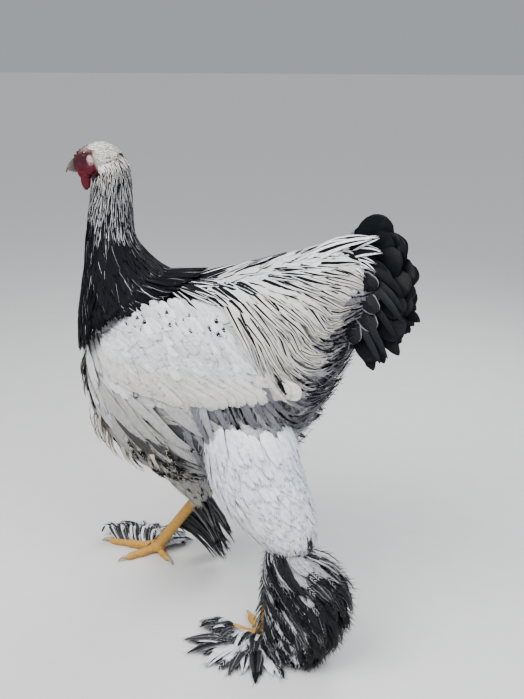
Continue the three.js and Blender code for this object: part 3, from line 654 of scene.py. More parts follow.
# %% Face, lobes, wattles and comb
face_bodies = []
skull_points, skull_faces = skull.loft(48, 56, -0.6)
face_bodies.append((from_head(skull_points), skull_faces))
for sign in (1, -1):
    face_bodies += [
        bead(3, 14.4 * sign, -8, (9, 4.2, 8)), bead(14, 12.4 * sign, -4, (10, 4, 7)),
        bead(6, 13.8 * sign, 15.4, (8, 3, 1.8), 0.1), bead(25, 8.5 * sign, 2, (6, 3.4, 6.5)),
        bead(19, 10.5 * sign, -12, (7, 4, 7)), bead(12.5, 12 * sign, -15, (6.5, 3.4, 7)),
        bead(16, 10.2 * sign, -21, (7.6, 3.3, 12.8), -0.16), bead(12, 10.8 * sign, -18, (4.4, 3, 8)),
        bead(18, 9.8 * sign, -28, (4.4, 2.7, 6.4)), bead(13.5, 10.4 * sign, -27, (3, 2.4, 5.6)),
        bead(-2.6, 17.4 * sign, 2.2, (4.1, 2.8, 4.6)), bead(-3.4, 18 * sign, -0.6, (2.8, 2.5, 3)),
        ring_round((4.5, 17.5 * sign, 9.6), sign, eye_radius - 0.4, 1.2, -0.02 * sign, tall=0.66),
        ring_round((4.5, 16.9 * sign, 9.6), sign, eye_radius + 1.6, 0.9, -0.02 * sign, tall=0.74),
    ]
    face_bodies += [
        bead(31 - 5 * i, 3.4 * sign, skull_rows(np.array(31.0 - 5 * i))[0] - 0.8, (2.8, 1.6, 1.6))
        for i in range(3)
    ]
face_bodies += [bead(32 - 5 * i, 0, skull_rows(np.array(32.0 - 5 * i))[0] - 0.5, (2.9, 1.7, 2.1))
                for i in range(4)]
face_skin = melted("face_skin", face_bodies, face_cube, 2)

# %% [markdown]
# A feather is a thin blade on a middle line, the spine. Its outline is a curve of widths, and its outer
# face has a low ridge where the shaft runs. All the feathers of a region are made at once: their spines
# form one array of feathers by steps by three, and each step gets a small triangle of points. Six more
# numbers for each feather, such as how black its middle is, travel with the points for the material.
# OFBake is a second map, in which a feather takes a tiny patch at its root's place on the body.

# %% The blade maker
outlines = {
    "lancet": [0.4, 0.75, 0.95, 1.0, 0.96, 0.86, 0.7, 0.46, 0.05],
    "round": [0.35, 0.7, 0.92, 1.0, 1.0, 0.98, 0.9, 0.7, 0.14],
    "long": [0.3, 0.6, 0.85, 0.97, 1.0, 1.0, 0.94, 0.74, 0.12],
    "fan": [0.3, 0.55, 0.78, 0.92, 1.0, 1.0, 0.98, 0.86, 0.56, 0.12],
    "plume": [0.4, 0.8, 1.0, 0.98, 0.9, 0.78, 0.62, 0.42, 0.06],
    "hair": [1.0, 1.0, 0.95, 0.9, 0.8, 0.7, 0.55, 0.35, 0.05],
}
bake_patch = 0.003
coat = {}


def turned_about(vectors, axes, angle):
    """Vectors square to unit axes, turned about them."""
    angle = np.asarray(angle)[..., None]
    return vectors * np.cos(angle) + np.cross(axes, vectors) * np.sin(angle)


def blades(spine, out, half, outline, dye, edge, home, roll=0.0, cup=0.12, ridge=0.5, ragged=0.0, seed=0):
    """spine (n, k, 3), out (n, k, 3), half width (n,). Each step's triangle is a ridge point and two edge
    points: spine plus or minus side times width, lowered by the cup. dye = ink, streak, shaft and edge =
    tip, warmth, tone, each (n, 3). home (n, 2) is the root's place on an unwrap of the body, from 0 to
    1."""
    n, k, _ = spine.shape
    draw = np.random.default_rng(seed)
    t = np.linspace(0, 1, k)
    shares = np.interp(t, np.linspace(0, 1, len(outlines[outline])), outlines[outline])
    along = unit(np.gradient(spine, axis=1))
    side = unit(np.cross(along, out))
    side = turned_about(side, along, np.broadcast_to(np.asarray(roll, float).reshape(-1, 1), (n, k)))
    away = np.cross(side, along)
    torn = 1 - ragged * draw.random((2, n, k)) * ease(0.15, 0.5, t)
    width = (np.asarray(half, float).reshape(-1, 1) * shares)[None] * torn
    sag = -cup * width
    left = spine - side * width[0][..., None] + away * sag[0][..., None]
    right = spine + side * width[1][..., None] + away * sag[1][..., None]
    crest = spine + away * (ridge * (1 - 0.6 * t))[None, :, None]
    points = np.stack([crest, left, right], 2).reshape(-1, 3)
    ring = (np.arange(n * k) * 3).reshape(n, k)
    faces = []
    for p, q in ((0, 1), (1, 2), (2, 0)):
        a, b, c, d = ring[:, :-1] + p, ring[:, :-1] + q, ring[:, 1:] + p, ring[:, 1:] + q
        faces += [np.stack([a, c, b], -1).reshape(-1, 3), np.stack([b, c, d], -1).reshape(-1, 3)]
    first, last = ring[:, 0], ring[:, -1]
    faces += [np.stack([first, first + 1, first + 2], -1), np.stack([last, last + 2, last + 1], -1)]
    u = np.broadcast_to(np.array([0.5, 0.0, 1.0]), (n, k, 3))
    v = np.broadcast_to(t[None, :, None], (n, k, 3))
    vane = np.stack([u, v], -1).reshape(-1, 2)
    bake = (0.01 + 0.98 * np.clip(home, 0, 1))[:, None, None, :] + bake_patch * np.stack([u, v], -1)
    dye, edge = (np.repeat(np.broadcast_to(values, (n, 3)), k * 3, axis=0) for values in (dye, edge))
    return {"points": points, "faces": np.concatenate(faces), "vane": vane, "bake": bake.reshape(-1, 2),
            "dye": dye, "edge": edge}


print("outlines:", ", ".join(outlines))

# %% [markdown]
# Roots are strewn over a form, and a spine either lies on the form or bends freely in the air. Each
# number that varies from feather to feather is drawn with a seed of its own, so that the bird comes out
# the same every time.

# %% Roots and spines
plastic = 1.32471795724474602596
root_jitter = 0.5


def add_to(piece, made):
    """Keeps the blades for the piece of the coat that they belong to."""
    coat.setdefault(piece, []).append(made)


def strewn(count, low, high, seed):
    """Places spread evenly over a rectangle: steps of the plastic number's powers, wrapped, each moved a
    little."""
    number = np.arange(count)[:, None]
    share = (0.5 + number * np.array([1 / plastic, 1 / plastic**2])) % 1
    share = share + root_jitter * (np.random.default_rng(seed).random((count, 2)) - 0.5) / math.sqrt(count)
    return np.array(low) + np.clip(share, 0, 1) * (np.array(high) - np.array(low))


def spaced(steps, dense):
    """Shares from 0 to 1. A density over 1 crowds them toward the tip, which makes its end rounder."""
    return 1 - (1 - np.linspace(0, 1, steps)) ** dense


def laid(form, start, end, rise, sink=3.0, steps=9, dense=1.0):
    """Spines over a form from parameters start (n, 2) to end (n, 2): the root is sunk and the tip stands
    off by the rise."""
    t = spaced(steps, dense)
    path = start[:, None] + (end - start)[:, None] * t[None, :, None]
    lift = -sink + (np.asarray(rise, float).reshape(-1, 1) + sink) * (1 - (1 - t) ** 2)
    return form.read(path[..., 0], path[..., 1], lift)


def free(root, bend, tip, out, steps=9, dense=1.0):
    """Spines on quadratic curves from root over bend to tip, with one way out for each."""
    t = spaced(steps, dense)[None, :, None]
    spine = root[:, None] * (1 - t) ** 2 + 2 * bend[:, None] * t * (1 - t) + tip[:, None] * t * t
    return spine, np.broadcast_to(out[:, None], spine.shape)


def numbers(*columns):
    """Columns of numbers, some single and some arrays, side by side."""
    return np.stack(np.broadcast_arrays(*[np.asarray(c, float) for c in columns]), -1)


def drawn(seed, count, spread=1.0):
    """Seeded draws between minus and plus the spread."""
    return (np.random.default_rng(seed).random(count) * 2 - 1) * spread


def mirrored(sign, degrees):
    """Angles in radians, turned over to the right side of the bird where the sign is negative."""
    return np.where(np.asarray(sign) > 0, np.radians(degrees), np.pi - np.radians(degrees))


def both_sides(count):
    """Signs of the feathers' sides: right and left by turns."""
    return np.where(np.arange(count) % 2, 1, -1)


print("two spaced shares:", strewn(2, (0, 0), (1, 1), 1).round(2).tolist())

# %% [markdown]
# The trunk's small feathers overlap like tiles, from the breast to the rear. Round the front of the
# breast they fall downwards. Most are white with a grey breath on them. Low on the sides and on the low
# breast they are painted darker grey, partly their smoky colour and partly painted shade under the body,
# and the low breast has brown-black tips.

# %% Body feathers
def angle_home(along, angle, ends):
    """Along the body and round it, both from 0 to 1."""
    return numbers((along - ends[0]) / (ends[1] - ends[0]), (angle % (2 * np.pi)) / (2 * np.pi))


body_feathers = 2300
root = strewn(body_feathers, (-196, -math.pi), (155, math.pi), 11)
root = root[(root[:, 0] < -8) | (np.sin(root[:, 1]) < 0.5)]
count = len(root)
forward, angle = root[:, 0], root[:, 1]
breast = ease(60, 150, forward)
fall = np.cos(angle) * np.radians(mix(9, 30, breast))
length = mix(48, 36, breast) * (1 + drawn(12, count, 0.2))
tip = np.stack([np.maximum(forward - length, -206), angle - fall + drawn(10, count, 0.06)], -1)
spine, out = laid(trunk, root, tip, 4 + drawn(13, count, 1.5), sink=5, dense=1.3)
low_breast = ease(20, 90, forward) * ease(-0.1, -0.55, np.sin(angle))
# Lower on the sides and on the low breast the tone is painted darker: partly the feathers' smoky colour,
# partly painted shade under the body.
smoke_and_shade = ease(0.2, -0.5, np.sin(angle)) * 0.6 + 0.4 * low_breast
dipped = np.where(drawn(17, count) < 2.0 * low_breast - 1.1, 0.4, 0.0)
add_to("body_coat", blades(
    spine, out, 9.5 + drawn(15, count, 2), "plume", numbers(0, 0, 0),
    numbers(dipped, 0.25 + 0.55 * low_breast, np.clip(0.62 - 0.85 * smoke_and_shade + drawn(14, count, 0.16), 0, 1)),
    angle_home(forward, angle, trunk.ends), roll=drawn(18, count, 0.15), cup=0.05, ridge=0.2, ragged=0.3,
    seed=19))
print(count, "body feathers")

# %% [markdown]
# At the very front the breast turns down, so its feathers hang from under the cape over the dome. How far
# forward a place on the dome is falls with the square of its distance to the side.

# %% Front of the breast
count = 150
dome_ahead, dome_half = 158, 62
share = np.random.default_rng(151).random((3, count))
side = mix(-dome_half, dome_half, strewn(count, (0, 0), (1, 1), 152)[:, 0])
level = mix(396, 338, share[0])
dome = dome_ahead - 19 * (side / dome_half) ** 2 - 13 * np.maximum((366 - level) / 30, 0) ** 1.5
root = np.stack([dome - 8, side, level], -1)
bend = np.stack([dome + 5, side * 1.03, level - 18], -1)
tip_ahead = dome + 1 - 14 * ease(372, 338, level)
tip = np.stack([tip_ahead, side * 1.06 + drawn(153, count, 4), level - 34 - 8 * share[1]], -1)
spine, out = free(root, bend, tip, unit(np.stack([1 + 0 * side, side / 110, 0.1 + 0 * side], -1)), dense=1.3)
add_to("body_coat", blades(
    spine, out, 8 + 3 * share[2], "plume", numbers(0, 0, 0),
    numbers(0.3 * (share[1] > 0.8), 0.4, 0.3 + 0.35 * share[2]),
    numbers(0.98, share[0]), roll=drawn(154, count, 0.2), cup=0.05, ridge=0.2, ragged=0.3, seed=155))
print(count, "feathers on the front of the breast")

# %% [markdown]
# The hackle is what names this breed: silver lancet feathers, each with a black centre that runs out
# before its point. Lower down the black takes over and only the shaft and the hem stay white.

# %% A drape over the shoulders
def draped(spine, gap):
    """Spines moved out of the trunk where they dip into its upper half. Size is where the superellipse's
    rule puts a place: 1 on the surface and less inside, so the place is moved out along its own ray by
    what is missing."""
    forward, left, up = np.moveaxis(spine, -1, 0)
    top, belt, _, half = trunk_rows(forward)
    rise = np.maximum((up - belt) / (top - belt), 0)
    size = (np.abs(left / half) ** back_square + rise ** back_square) ** (1 / back_square)
    grow = np.where((rise > 0.3) & (forward < 120),
                    np.maximum((1 + gap / half) / np.maximum(size, 0.3), 1), 1)
    return np.stack([forward, left * grow, belt + (up - belt) * grow], -1)


print("a place inside the back goes to", draped(np.array([[0.0, 0, 440]]), 2.0).round(0).tolist())

# %% [markdown]
# The hackle's hem is low at the front and high over the back, so the last ring of its feathers depends on
# how far to the front they point.

# %% Hackle
hem_front, hem_ring = (-1, -0.94, -0.77, -0.5, 0, 0.5, 1), (4.5, 4.4, 4.25, 4.15, 4.15, 4.9, 5.05)
hackle_roots = 4000
root = strewn(hackle_roots, (-0.95, -math.pi), (4.1, math.pi), 21)
root = root[np.sin(root[:, 1]) < mix(0.1, 1.1, ease(-0.7, 0.0, root[:, 0]))]
front = np.sin(root[:, 1])
hem = np.interp(front, hem_front, hem_ring)
root, front, hem = (values[root[:, 0] < hem - 0.9] for values in (root, front, hem))
count = len(root)
along, angle = root[:, 0], root[:, 1]
reach = mix(0.62, 1.45, ease(-0.6, 2.4, along)) * (1 + drawn(22, count, 0.16))
tip = np.stack([np.minimum(along + reach, hem + drawn(20, count, 0.22)), angle + drawn(23, count, 0.12)], -1)
spine, out = laid(cape, root, tip, mix(1.4, 4.2, ease(0, 2.5, along)) + drawn(24, count, 1.1), sink=2)
spine = draped(spine, 2.0 + drawn(19, count, 1.5)[:, None])
silver_end = mix(1.9, 1.05, ease(0.1, 0.9, front)) + 0.3 * ease(-0.3, -1, front)
dark = ease(-0.12, 0.12, tip[:, 0] - silver_end + drawn(25, count, 0.3))
streak = mix(0.75, 0.95, ease(-0.6, 0.6, along)) * (1 + drawn(26, count, 0.3)) * ease(-0.95, -0.45, along)
half = mix(1.7, 6.4, ease(0.0, 3.4, along)) * (1 + drawn(27, count, 0.2))
laced = np.where(drawn(28, count) > 0.5, 0.6, np.where(drawn(28, count) < -0.88, 1.6, 0.0))
add_to("hackle", blades(
    spine, out, half, "lancet", numbers(dark, streak, laced),
    numbers(0, mix(0.15, 0.5, ease(0.6, -0.8, along)), 0.62 + drawn(29, count, 0.25)),
    angle_home(along, angle, (-1, 4.2)),
    roll=drawn(30, count, 0.3), cup=0.2, ragged=0.12, seed=31))
print(count, "hackle feathers")

# %% [markdown]
# The crown and nape carry very small cream-white feathers, which lie back from the brow and leave the
# face bare.

# %% Crown
crown_roots = 2400
root = strewn(crown_roots, (-27, math.radians(-60)), (20, math.radians(240)), 41)
x, angle = root[:, 0], root[:, 1]
bare = (x > -11) & (np.sin(angle) < 0.66 + 0.016 * x)
comb_patch = (x > 10) & (np.abs(np.cos(angle)) < 0.42)
root, x, angle = (values[~(bare | comb_patch)] for values in (root, x, angle))
count = len(x)
length = mix(11, 4.5, ease(-20, 12, x)) * (1 + drawn(42, count, 0.2))
tip = np.stack([np.maximum(x - length, -36), angle + np.cos(angle) * -0.2], -1)


def skull_read(x, angle, lift=0.0):
    """Places over the skull and the ways out there, carried into the bird's frame."""
    place, out = skull.read(x, angle, lift)
    return from_head(place), out @ head_axes


head_form = Form(None, None, skull.ends)
head_form.read = skull_read
rise = mix(1.0, 0.5, ease(-5, 12, x)) + drawn(43, count, 0.3)
spine, out = laid(head_form, root, tip, rise, sink=1, steps=6)
brow = ease(-2, 9, x)
add_to("crown", blades(
    spine, out, mix(1.2, 0.7, brow) + drawn(44, count, 0.2), "lancet",
    numbers(0, np.maximum(0.7 * ease(-2, -18, x) * (0.3 + drawn(45, count)), 0), 0),
    numbers(0, mix(0.65, 0.35, brow), mix(0.45, 0.2, brow) + drawn(46, count, 0.18)),
    angle_home(x, angle, (-32, 24)),
    ridge=0.15, seed=47))
print(count, "crown feathers")

# %% [markdown]
# The saddle hangs over the flanks and the ends of the wings in long narrow points, grey-white with a
# black middle.

# %% Saddle
saddle_count = 760
for sign in (1, -1):
    seed = 60 if sign > 0 else 80
    root = strewn(saddle_count, (-190, -2), (28, 93), seed)
    root = root[root[:, 1] > mix(74, 24, ease(0, -100, root[:, 0]))]
    forward, degrees = root.T
    count = len(root)
    crest = ease(46, 88, degrees)
    rear = ease(-40, -180, forward)
    length = mix(62, 64, crest) * (1 - 0.3 * rear * crest) * (1 + drawn(seed + 1, count, 0.18))
    end = np.maximum(forward - length, -205)
    drop = mix(64, 25, crest) + drawn(seed + 2, count, 8)
    start_angle, end_angle = mirrored(sign, degrees), mirrored(sign, degrees - drop)
    rise = mix(mix(19, 9, rear), 3, crest) + drawn(seed + 3, count, 2)
    root, tip = np.stack([forward, start_angle], -1), np.stack([end, end_angle], -1)
    spine, out = laid(trunk, root, tip, rise, sink=3, steps=11)
    draw = np.random.default_rng(seed).random((3, count))
    streak = mix(0.3, 0.85, crest) * (draw[1] > 0.16) * (0.7 + 0.5 * draw[2])
    add_to("saddle", blades(
        spine, out, 3.6 + 2.2 * draw[0], "lancet", numbers(0, streak, 0),
        numbers(0, mix(0.6, 0.12, crest), mix(0.38, 0.7, crest) + 0.2 * draw[0]),
        angle_home(forward, start_angle, trunk.ends), roll=drawn(seed, count, 0.3), cup=0.22, ragged=0.2,
        seed=seed))
print(2 * saddle_count, "saddle feathers at most")

# %% [markdown]
# The longest feathers of the saddle rise over the root of the tail and end in the air behind it.

# %% Long feathers over the root of the tail
count = 46
share = np.random.default_rng(95).random((4, count))
sign = both_sides(count)
root = np.stack([mix(-128, -182, share[0]), sign * mix(2, 26, share[1]), 522 - 10 * share[1]], -1)
tip = np.stack([mix(-196, -232, share[2]), sign * mix(6, 34, share[1]), mix(552, 498, share[3])], -1)
bend = mix(root, tip, 0.5) + numbers(0, 3 * sign, 9 + 8 * share[3])
out = unit(numbers(0.1, sign * (0.5 + share[1]), 1 - share[3] * 0.6))
spine, ways = free(root, bend, tip, out, steps=11)
add_to("saddle", blades(
    spine, ways, 4.2 + 2.4 * share[2], "lancet", numbers(0, 0.35 + 0.5 * share[0], 0),
    numbers(0, 0.1, 0.85 + 0.15 * share[1]),
    angle_home(root[:, 0], np.radians(80) + 0 * share[0], trunk.ends), roll=0.2 * sign, cup=0.2,
    ragged=0.15, seed=96))
print(count, "long feathers over the root of the tail")

# %% [markdown]
# Fluff is made of plumes whose barbs don't hook together: each plume is a narrow blade and ten or twenty
# fine hairs that leave its shaft and curl. It covers the wings' coverts, the belly, the thighs and the
# hocks.

# %% The plume maker
def fluff(spine, out, half, barbs, seed, curl):
    """Hairs that leave the shafts. Barb j of a plume starts at a share of its shaft, runs out to one side
    by the half width and forward along the shaft, and curls up. Returns their spines and ways out, with
    the number of each one's plume."""
    n, k, _ = spine.shape
    draw = np.random.default_rng(seed)
    share = (np.arange(barbs) + 0.5) / barbs
    place = np.clip(share[None] + (draw.random((n, barbs)) - 0.5) / barbs, 0, 0.97) * (k - 1)
    lower = np.minimum(place.astype(int), k - 2)
    part = (place - lower)[..., None]
    rows = np.arange(n)[:, None]
    at_shaft = mix(spine[rows, lower], spine[rows, lower + 1], part)
    along = unit(spine[rows, lower + 1] - spine[rows, lower])
    up = unit(out[rows, lower])
    side = unit(np.cross(along, up)) * np.where(np.arange(barbs) % 2, 1, -1)[None, :, None]
    reach = np.asarray(half, float).reshape(-1, 1) * (0.7 + 0.6 * draw.random((n, barbs)))
    reach = (reach * (1.1 - 0.5 * share))[..., None]
    angle = (draw.random((n, barbs, 1)) - 0.2) * curl
    t = np.linspace(0, 1, 4)[None, None, :, None]
    root, along, side, up, reach, angle = (v[:, :, None] for v in (at_shaft, along, side, up, reach, angle))
    bent = side * (0.75 * t - 0.3 * t * t) + along * (0.55 * t + 0.5 * t * t) + up * (angle * 2 * t * t)
    hairs = (root + bent * reach).reshape(-1, 4, 3)
    ways = np.broadcast_to(up, (n, barbs, 4, 3)).reshape(-1, 4, 3)
    return hairs, ways, np.repeat(np.arange(n), barbs)


def plumes(piece, spine, out, half, dye, edge, home, barbs, seed,
           roll=0.0, curl=0.35, thick=0.5, blade=0.55, ragged=0.45):
    """Plumes: a narrow soft blade in the middle, and loose barbs round it."""
    n = len(spine)
    half = np.broadcast_to(half, (n,)).astype(float)
    dye, edge = np.broadcast_to(dye, (n, 3)), np.broadcast_to(edge, (n, 3))
    add_to(piece, blades(
        spine, out, half * blade, "plume", dye, edge, home,
        roll=roll, cup=0.04, ridge=0.25, ragged=ragged, seed=seed))
    hairs, ways, owner = fluff(spine, out, half, barbs, seed + 1, curl)
    add_to(piece + "_barbs", blades(
        hairs, ways, np.full(len(hairs), thick), "hair", dye[owner], edge[owner], home[owner],
        ridge=0.3, seed=seed + 2))


print("a plume is one blade and its barbs")

# %% [markdown]
# A folded wing shows its flights as a few long blades under two rows of coverts, and small round feathers
# on the shoulder. Here the flights lie under coverts strewn over the wing, shorter higher up.

# %% Wings
flight_count, covert_count, fall_slope = 11, 430, 0.0036
wing_room = (240, 1.2)


def wing_home(forward, height, sign):
    """The left wing takes the left half of the unwrap, and the right wing the right one."""
    home = numbers((forward + 130) / wing_room[0], (height + 0.1) / wing_room[1])
    return home * (0.5, 1) + (0 if sign > 0 else 0.5, 0)


for side, form in wings.items():
    sign = legs[side]["sign"]
    share = np.linspace(0, 1, flight_count)[:, None]
    start = mix(np.array((62, 0.3)), np.array((-78, 0.6)), share)
    wander = np.stack([drawn(200, flight_count, 4), drawn(201, flight_count, 0.02)], -1)
    end = mix(np.array((-26, -0.03)), np.array((-150, 0.2)), share) + wander
    spine, out = laid(form, start, end, 3.5 + drawn(202, flight_count, 0.8), steps=13, dense=1.6)
    add_to("wing_coat", blades(
        spine, out, 14, "long", numbers(0, 0, 0), numbers(0, 0.6, 0.97), wing_home(*start.T, sign),
        roll=0.12 * sign, cup=0.1, seed=203))
    root = strewn(covert_count, (-84, 0.16), (108, 1.02), 210)
    root = root[root[:, 1] > 0.18 + 0.0042 * np.maximum(30 - root[:, 0], 0)]
    forward, height = root.T
    count = len(root)
    low = ease(0.8, 0.25, height)
    length = mix(34, 58, low) * (1 + drawn(211, count, 0.2))
    end = np.stack([forward - length, height - length * fall_slope * (1 + drawn(212, count, 0.3))], -1)
    spine, out = laid(form, root, end, 3.6 + drawn(213, count, 0.8), sink=3, steps=10, dense=1.3)
    dipped = np.where((height > 0.9) & (drawn(214, count) > 0), 0.22, 0.0)
    plumes("wing_coat", spine, out, mix(7, 12, low) * (1 + drawn(215, count, 0.15)), numbers(0, 0, 0),
           numbers(dipped, mix(0.05, 0.55, low), np.minimum(0.86 + drawn(217, count, 0.2), 1)),
           wing_home(forward, height, sign), 8, 219,
           roll=0.06 * sign + drawn(218, count, 0.14), curl=0.1, thick=0.4, blade=0.95, ragged=0.25)
print("2 wings of", flight_count, "flights and about", covert_count, "coverts")

# %% [markdown]
# The belly is covered by loose grey-white fluff. Its plumes lie back along the trunk's underside.

# %% Belly fluff
belly_count = 320
root = strewn(belly_count, (-190, math.radians(-150)), (20, math.radians(-30)), 301)
forward, angle = root[:, 0], root[:, 1]
tip = np.stack([np.maximum(forward - 30, -206), angle + np.sin(angle + np.pi / 2) * -0.35], -1)
spine, out = laid(trunk, root, tip, 8 + drawn(302, belly_count, 4), sink=4)
edge = numbers(0.12 * (drawn(303, belly_count) > 0.6), 0.3, 0.62 + drawn(304, belly_count, 0.22))
home = angle_home(forward, angle, trunk.ends)
plumes("fluff_belly", spine, out, 10, numbers(0, 0, 0), edge, home, 16, 305)
print(belly_count, "plumes on the belly")

# %% [markdown]
# Smoky fluff shows between the wing and the thigh, and its rear tufts have dark streaks and tips.

# %% Flank fluff
flank_count = 320
root = strewn(flank_count, (-186, -56), (-2, 12), 341)
forward, degrees = root.T
sign = both_sides(flank_count)
degrees = degrees - 10 * ease(-100, -20, forward)
drop = 36 + drawn(342, flank_count, 9)
angle, end_angle = mirrored(sign, degrees), mirrored(sign, degrees - drop)
rear = ease(-90, -160, forward)
length = mix(26, 36, rear) * (1 + drawn(343, flank_count, 0.3))
tip = np.stack([np.maximum(forward - length, -206), end_angle], -1)
rise = mix(15, 18, rear) + drawn(344, flank_count, 3)
spine, out = laid(trunk, np.stack([forward, angle], -1), tip, rise, sink=4)
streak = np.where(drawn(345, flank_count) > 0.5 - rear, 0.5, 0.0)
edge = numbers(np.where(streak > 0, 0.3, 0), 0.05, np.maximum(0.02 + drawn(346, flank_count, 0.3), 0))
home = angle_home(forward, angle, trunk.ends)
plumes("fluff_flank", spine, out, 10, numbers(0, streak, 0), edge, home, 16, 347, curl=0.5)
print(flank_count, "plumes on the flanks")

# %% [markdown]
# Long grey-white feathers sweep from the sides of the breast over the fronts of the thighs. Their grey is
# painted darker the lower they root, as painted shade under the breast.

# %% Sweep of the breast
count = 130
share = np.random.default_rng(350).random((4, count))
sign = both_sides(count)
forward, degrees = mix(128, 10, share[0]), mix(2, -46, share[1])
angle, end_angle = mirrored(sign, degrees), mirrored(sign, degrees - 24 - 12 * share[2])
tip = np.stack([forward - 76 - 26 * share[3], end_angle], -1)
spine, out = laid(trunk, np.stack([forward, angle], -1), tip, 9 + 6 * share[2], sink=3, steps=11, dense=1.3)
# Their tone is painted darker the lower they root, as painted shade under the breast, plus a random share.
plumes("fluff_flank", spine, out, 11, numbers(0.8 * (share[2] > 0.88), 0, 0),
       numbers(0.2 * (share[2] > 0.7), 0.3, mix(0.26, 0, share[1]) + 0.16 * share[3]),
       angle_home(forward, angle, trunk.ends), 24, 351, curl=0.15, blade=0.9, ragged=0.2)
print(count, "sweeping feathers")

# %% [markdown]
# The low front of the breast ends in short cream feathers with brown-black tips, which hang free.

# %% Fringe of the breast
count = 130
share = np.random.default_rng(355).random((4, count))
sign = both_sides(count)
forward, degrees = mix(142, 20, share[0]), mix(-24, -88, share[1])
angle, end_angle = mirrored(sign, degrees), mirrored(sign, degrees - 12 - 8 * share[2])
tip = np.stack([forward - 16 - 12 * share[3], end_angle], -1)
spine, out = laid(trunk, np.stack([forward, angle], -1), tip, 13 + 7 * share[2], sink=3, steps=9)
plumes("fluff_flank", spine, out, 6.5, numbers(0, 0, 0),
       numbers(0.45 * (share[3] > 0.3), 0.7, 0.1 + 0.4 * share[1]),
       angle_home(forward, angle, trunk.ends), 10, 356, curl=0.3, blade=0.8, ragged=0.35)
print(count, "feathers in the fringe")

# %% [markdown]
# White plumes fall down the thighs and end in a soft edge over the hock. The far thigh is painted greyer
# and warmer, which is painted shade behind the body, and a few plumes at the back are black.

# %% Thigh fluff
thigh_locks = {"left": 760, "right": 500}
for side, form in thighs.items():
    count, low = thigh_locks[side], form.ends[0]
    root = strewn(count, (low + 8, -math.pi), (form.ends[1] - 22, math.pi), 320 + len(side))
    up, angle = root[:, 0], root[:, 1]
    back = np.maximum(-np.sin(angle), 0)
    drop = mix(36, 42, back) * (1 + drawn(321, count, 0.3))
    tip = np.stack([np.maximum(up - drop, low - 6 - 6 * back), angle + np.cos(angle) * -0.3
                    + drawn(322, count, 0.2)], -1)
    spine, out = laid(form, root, tip, 2.5 + 3 * back + drawn(323, count, 0.9), sink=4, steps=7)
    spot = (up < low + 60) & (drawn(324, count) > 0.5) & (back > 0.35)
    # On the far thigh, shade is painted shade: it makes the plumes greyer and warmer, and gives a few of them
    # dark tips.
    shade = 0.5 if side == "right" else 0.0
    warm = 0.6 * ease(low + 120, low + 20, up) * ease(-0.4, 0.6, drawn(327, count))
    dipped = 0.5 * shade * (drawn(329, count) > 0.75)
    plumes("fluff_thigh_" + side, spine, out, 8.5, numbers(0.95 * spot, 0, 0),
           numbers(dipped, warm + 0.6 * shade, 0.95 - shade + drawn(325, count, 0.08)),
           angle_home(up, angle, form.ends), 12, 326, thick=0.45, curl=0.25, blade=0.8, ragged=0.4)
print("plumes on the thighs:", thigh_locks)

# %% [markdown]
# The breed is booted. The left shank, nearer to the camera, is hidden by a bell of black and white plumes
# with curled barbs, which is fullest behind the leg.

# %% The left boot's bell
def flat_home(places, low, high):
    """Forward and up, from 0 to 1 between two corners."""
    forward, _, up = places.T
    return numbers((forward - low[0]) / (high[0] - low[0]), (up - low[1]) / (high[1] - low[1]))


boot_form = level_form([
    [8, -134, 24, 20, 84], [30, -143, 36, 26, 86], [64, -152, 44, 30, 88], [93, -155, 47, 32, 89],
    [118, -155, 47, 31, 89],
    [151, -142, 34, 24, 84], [172, -132, 22, 16, 80],
], (8.0, 172.0))
count = 330
root = strewn(count, (26, -math.pi), (168, math.pi), 360)
up, angle = root.T
toward_back = (angle + np.pi / 2 + np.pi) % (2 * np.pi) - np.pi
drop = (34 + drawn(361, count, 10)) * ease(0, 60, up)
tip = np.stack([np.maximum(up - drop, 6), angle - 0.32 * toward_back], -1)
back = np.maximum(-np.sin(angle), 0)
spine, out = laid(boot_form, root, tip, mix(5, 17, back) + drawn(362, count, 4), sink=5, steps=10)
black = drawn(363, count) < mix(0.2, 0.95, ease(0.0, 0.5, back)) - 0.7 * ease(135, 168, up)
tone = np.where(up > 135, 0.35, 0.8) + drawn(364, count, 0.2)
dye = numbers(0.98 * black, np.where(drawn(365, count) > 0.2, 0.6, 0), 0.5 * (drawn(366, count) > 0.5))
edge = numbers(np.where(drawn(367, count) > 0, 0.3, 0), 0.1, tone)
home = angle_home(up, angle, boot_form.ends)
plumes("boots_left", spine, out, mix(7.5, 10, back), dye, edge, home, 22, 368, curl=0.6, blade=0.8, thick=0.45)
print(count, "plumes in the bell")

# %% [markdown]
# Stiffer feathers fan out from the shanks: behind the hock, to the outer side and to the front. A fan is
# given by its feathers' number, where along the shank they root, which way they aim, how far they reach
# and fall, their half width and how black they are.

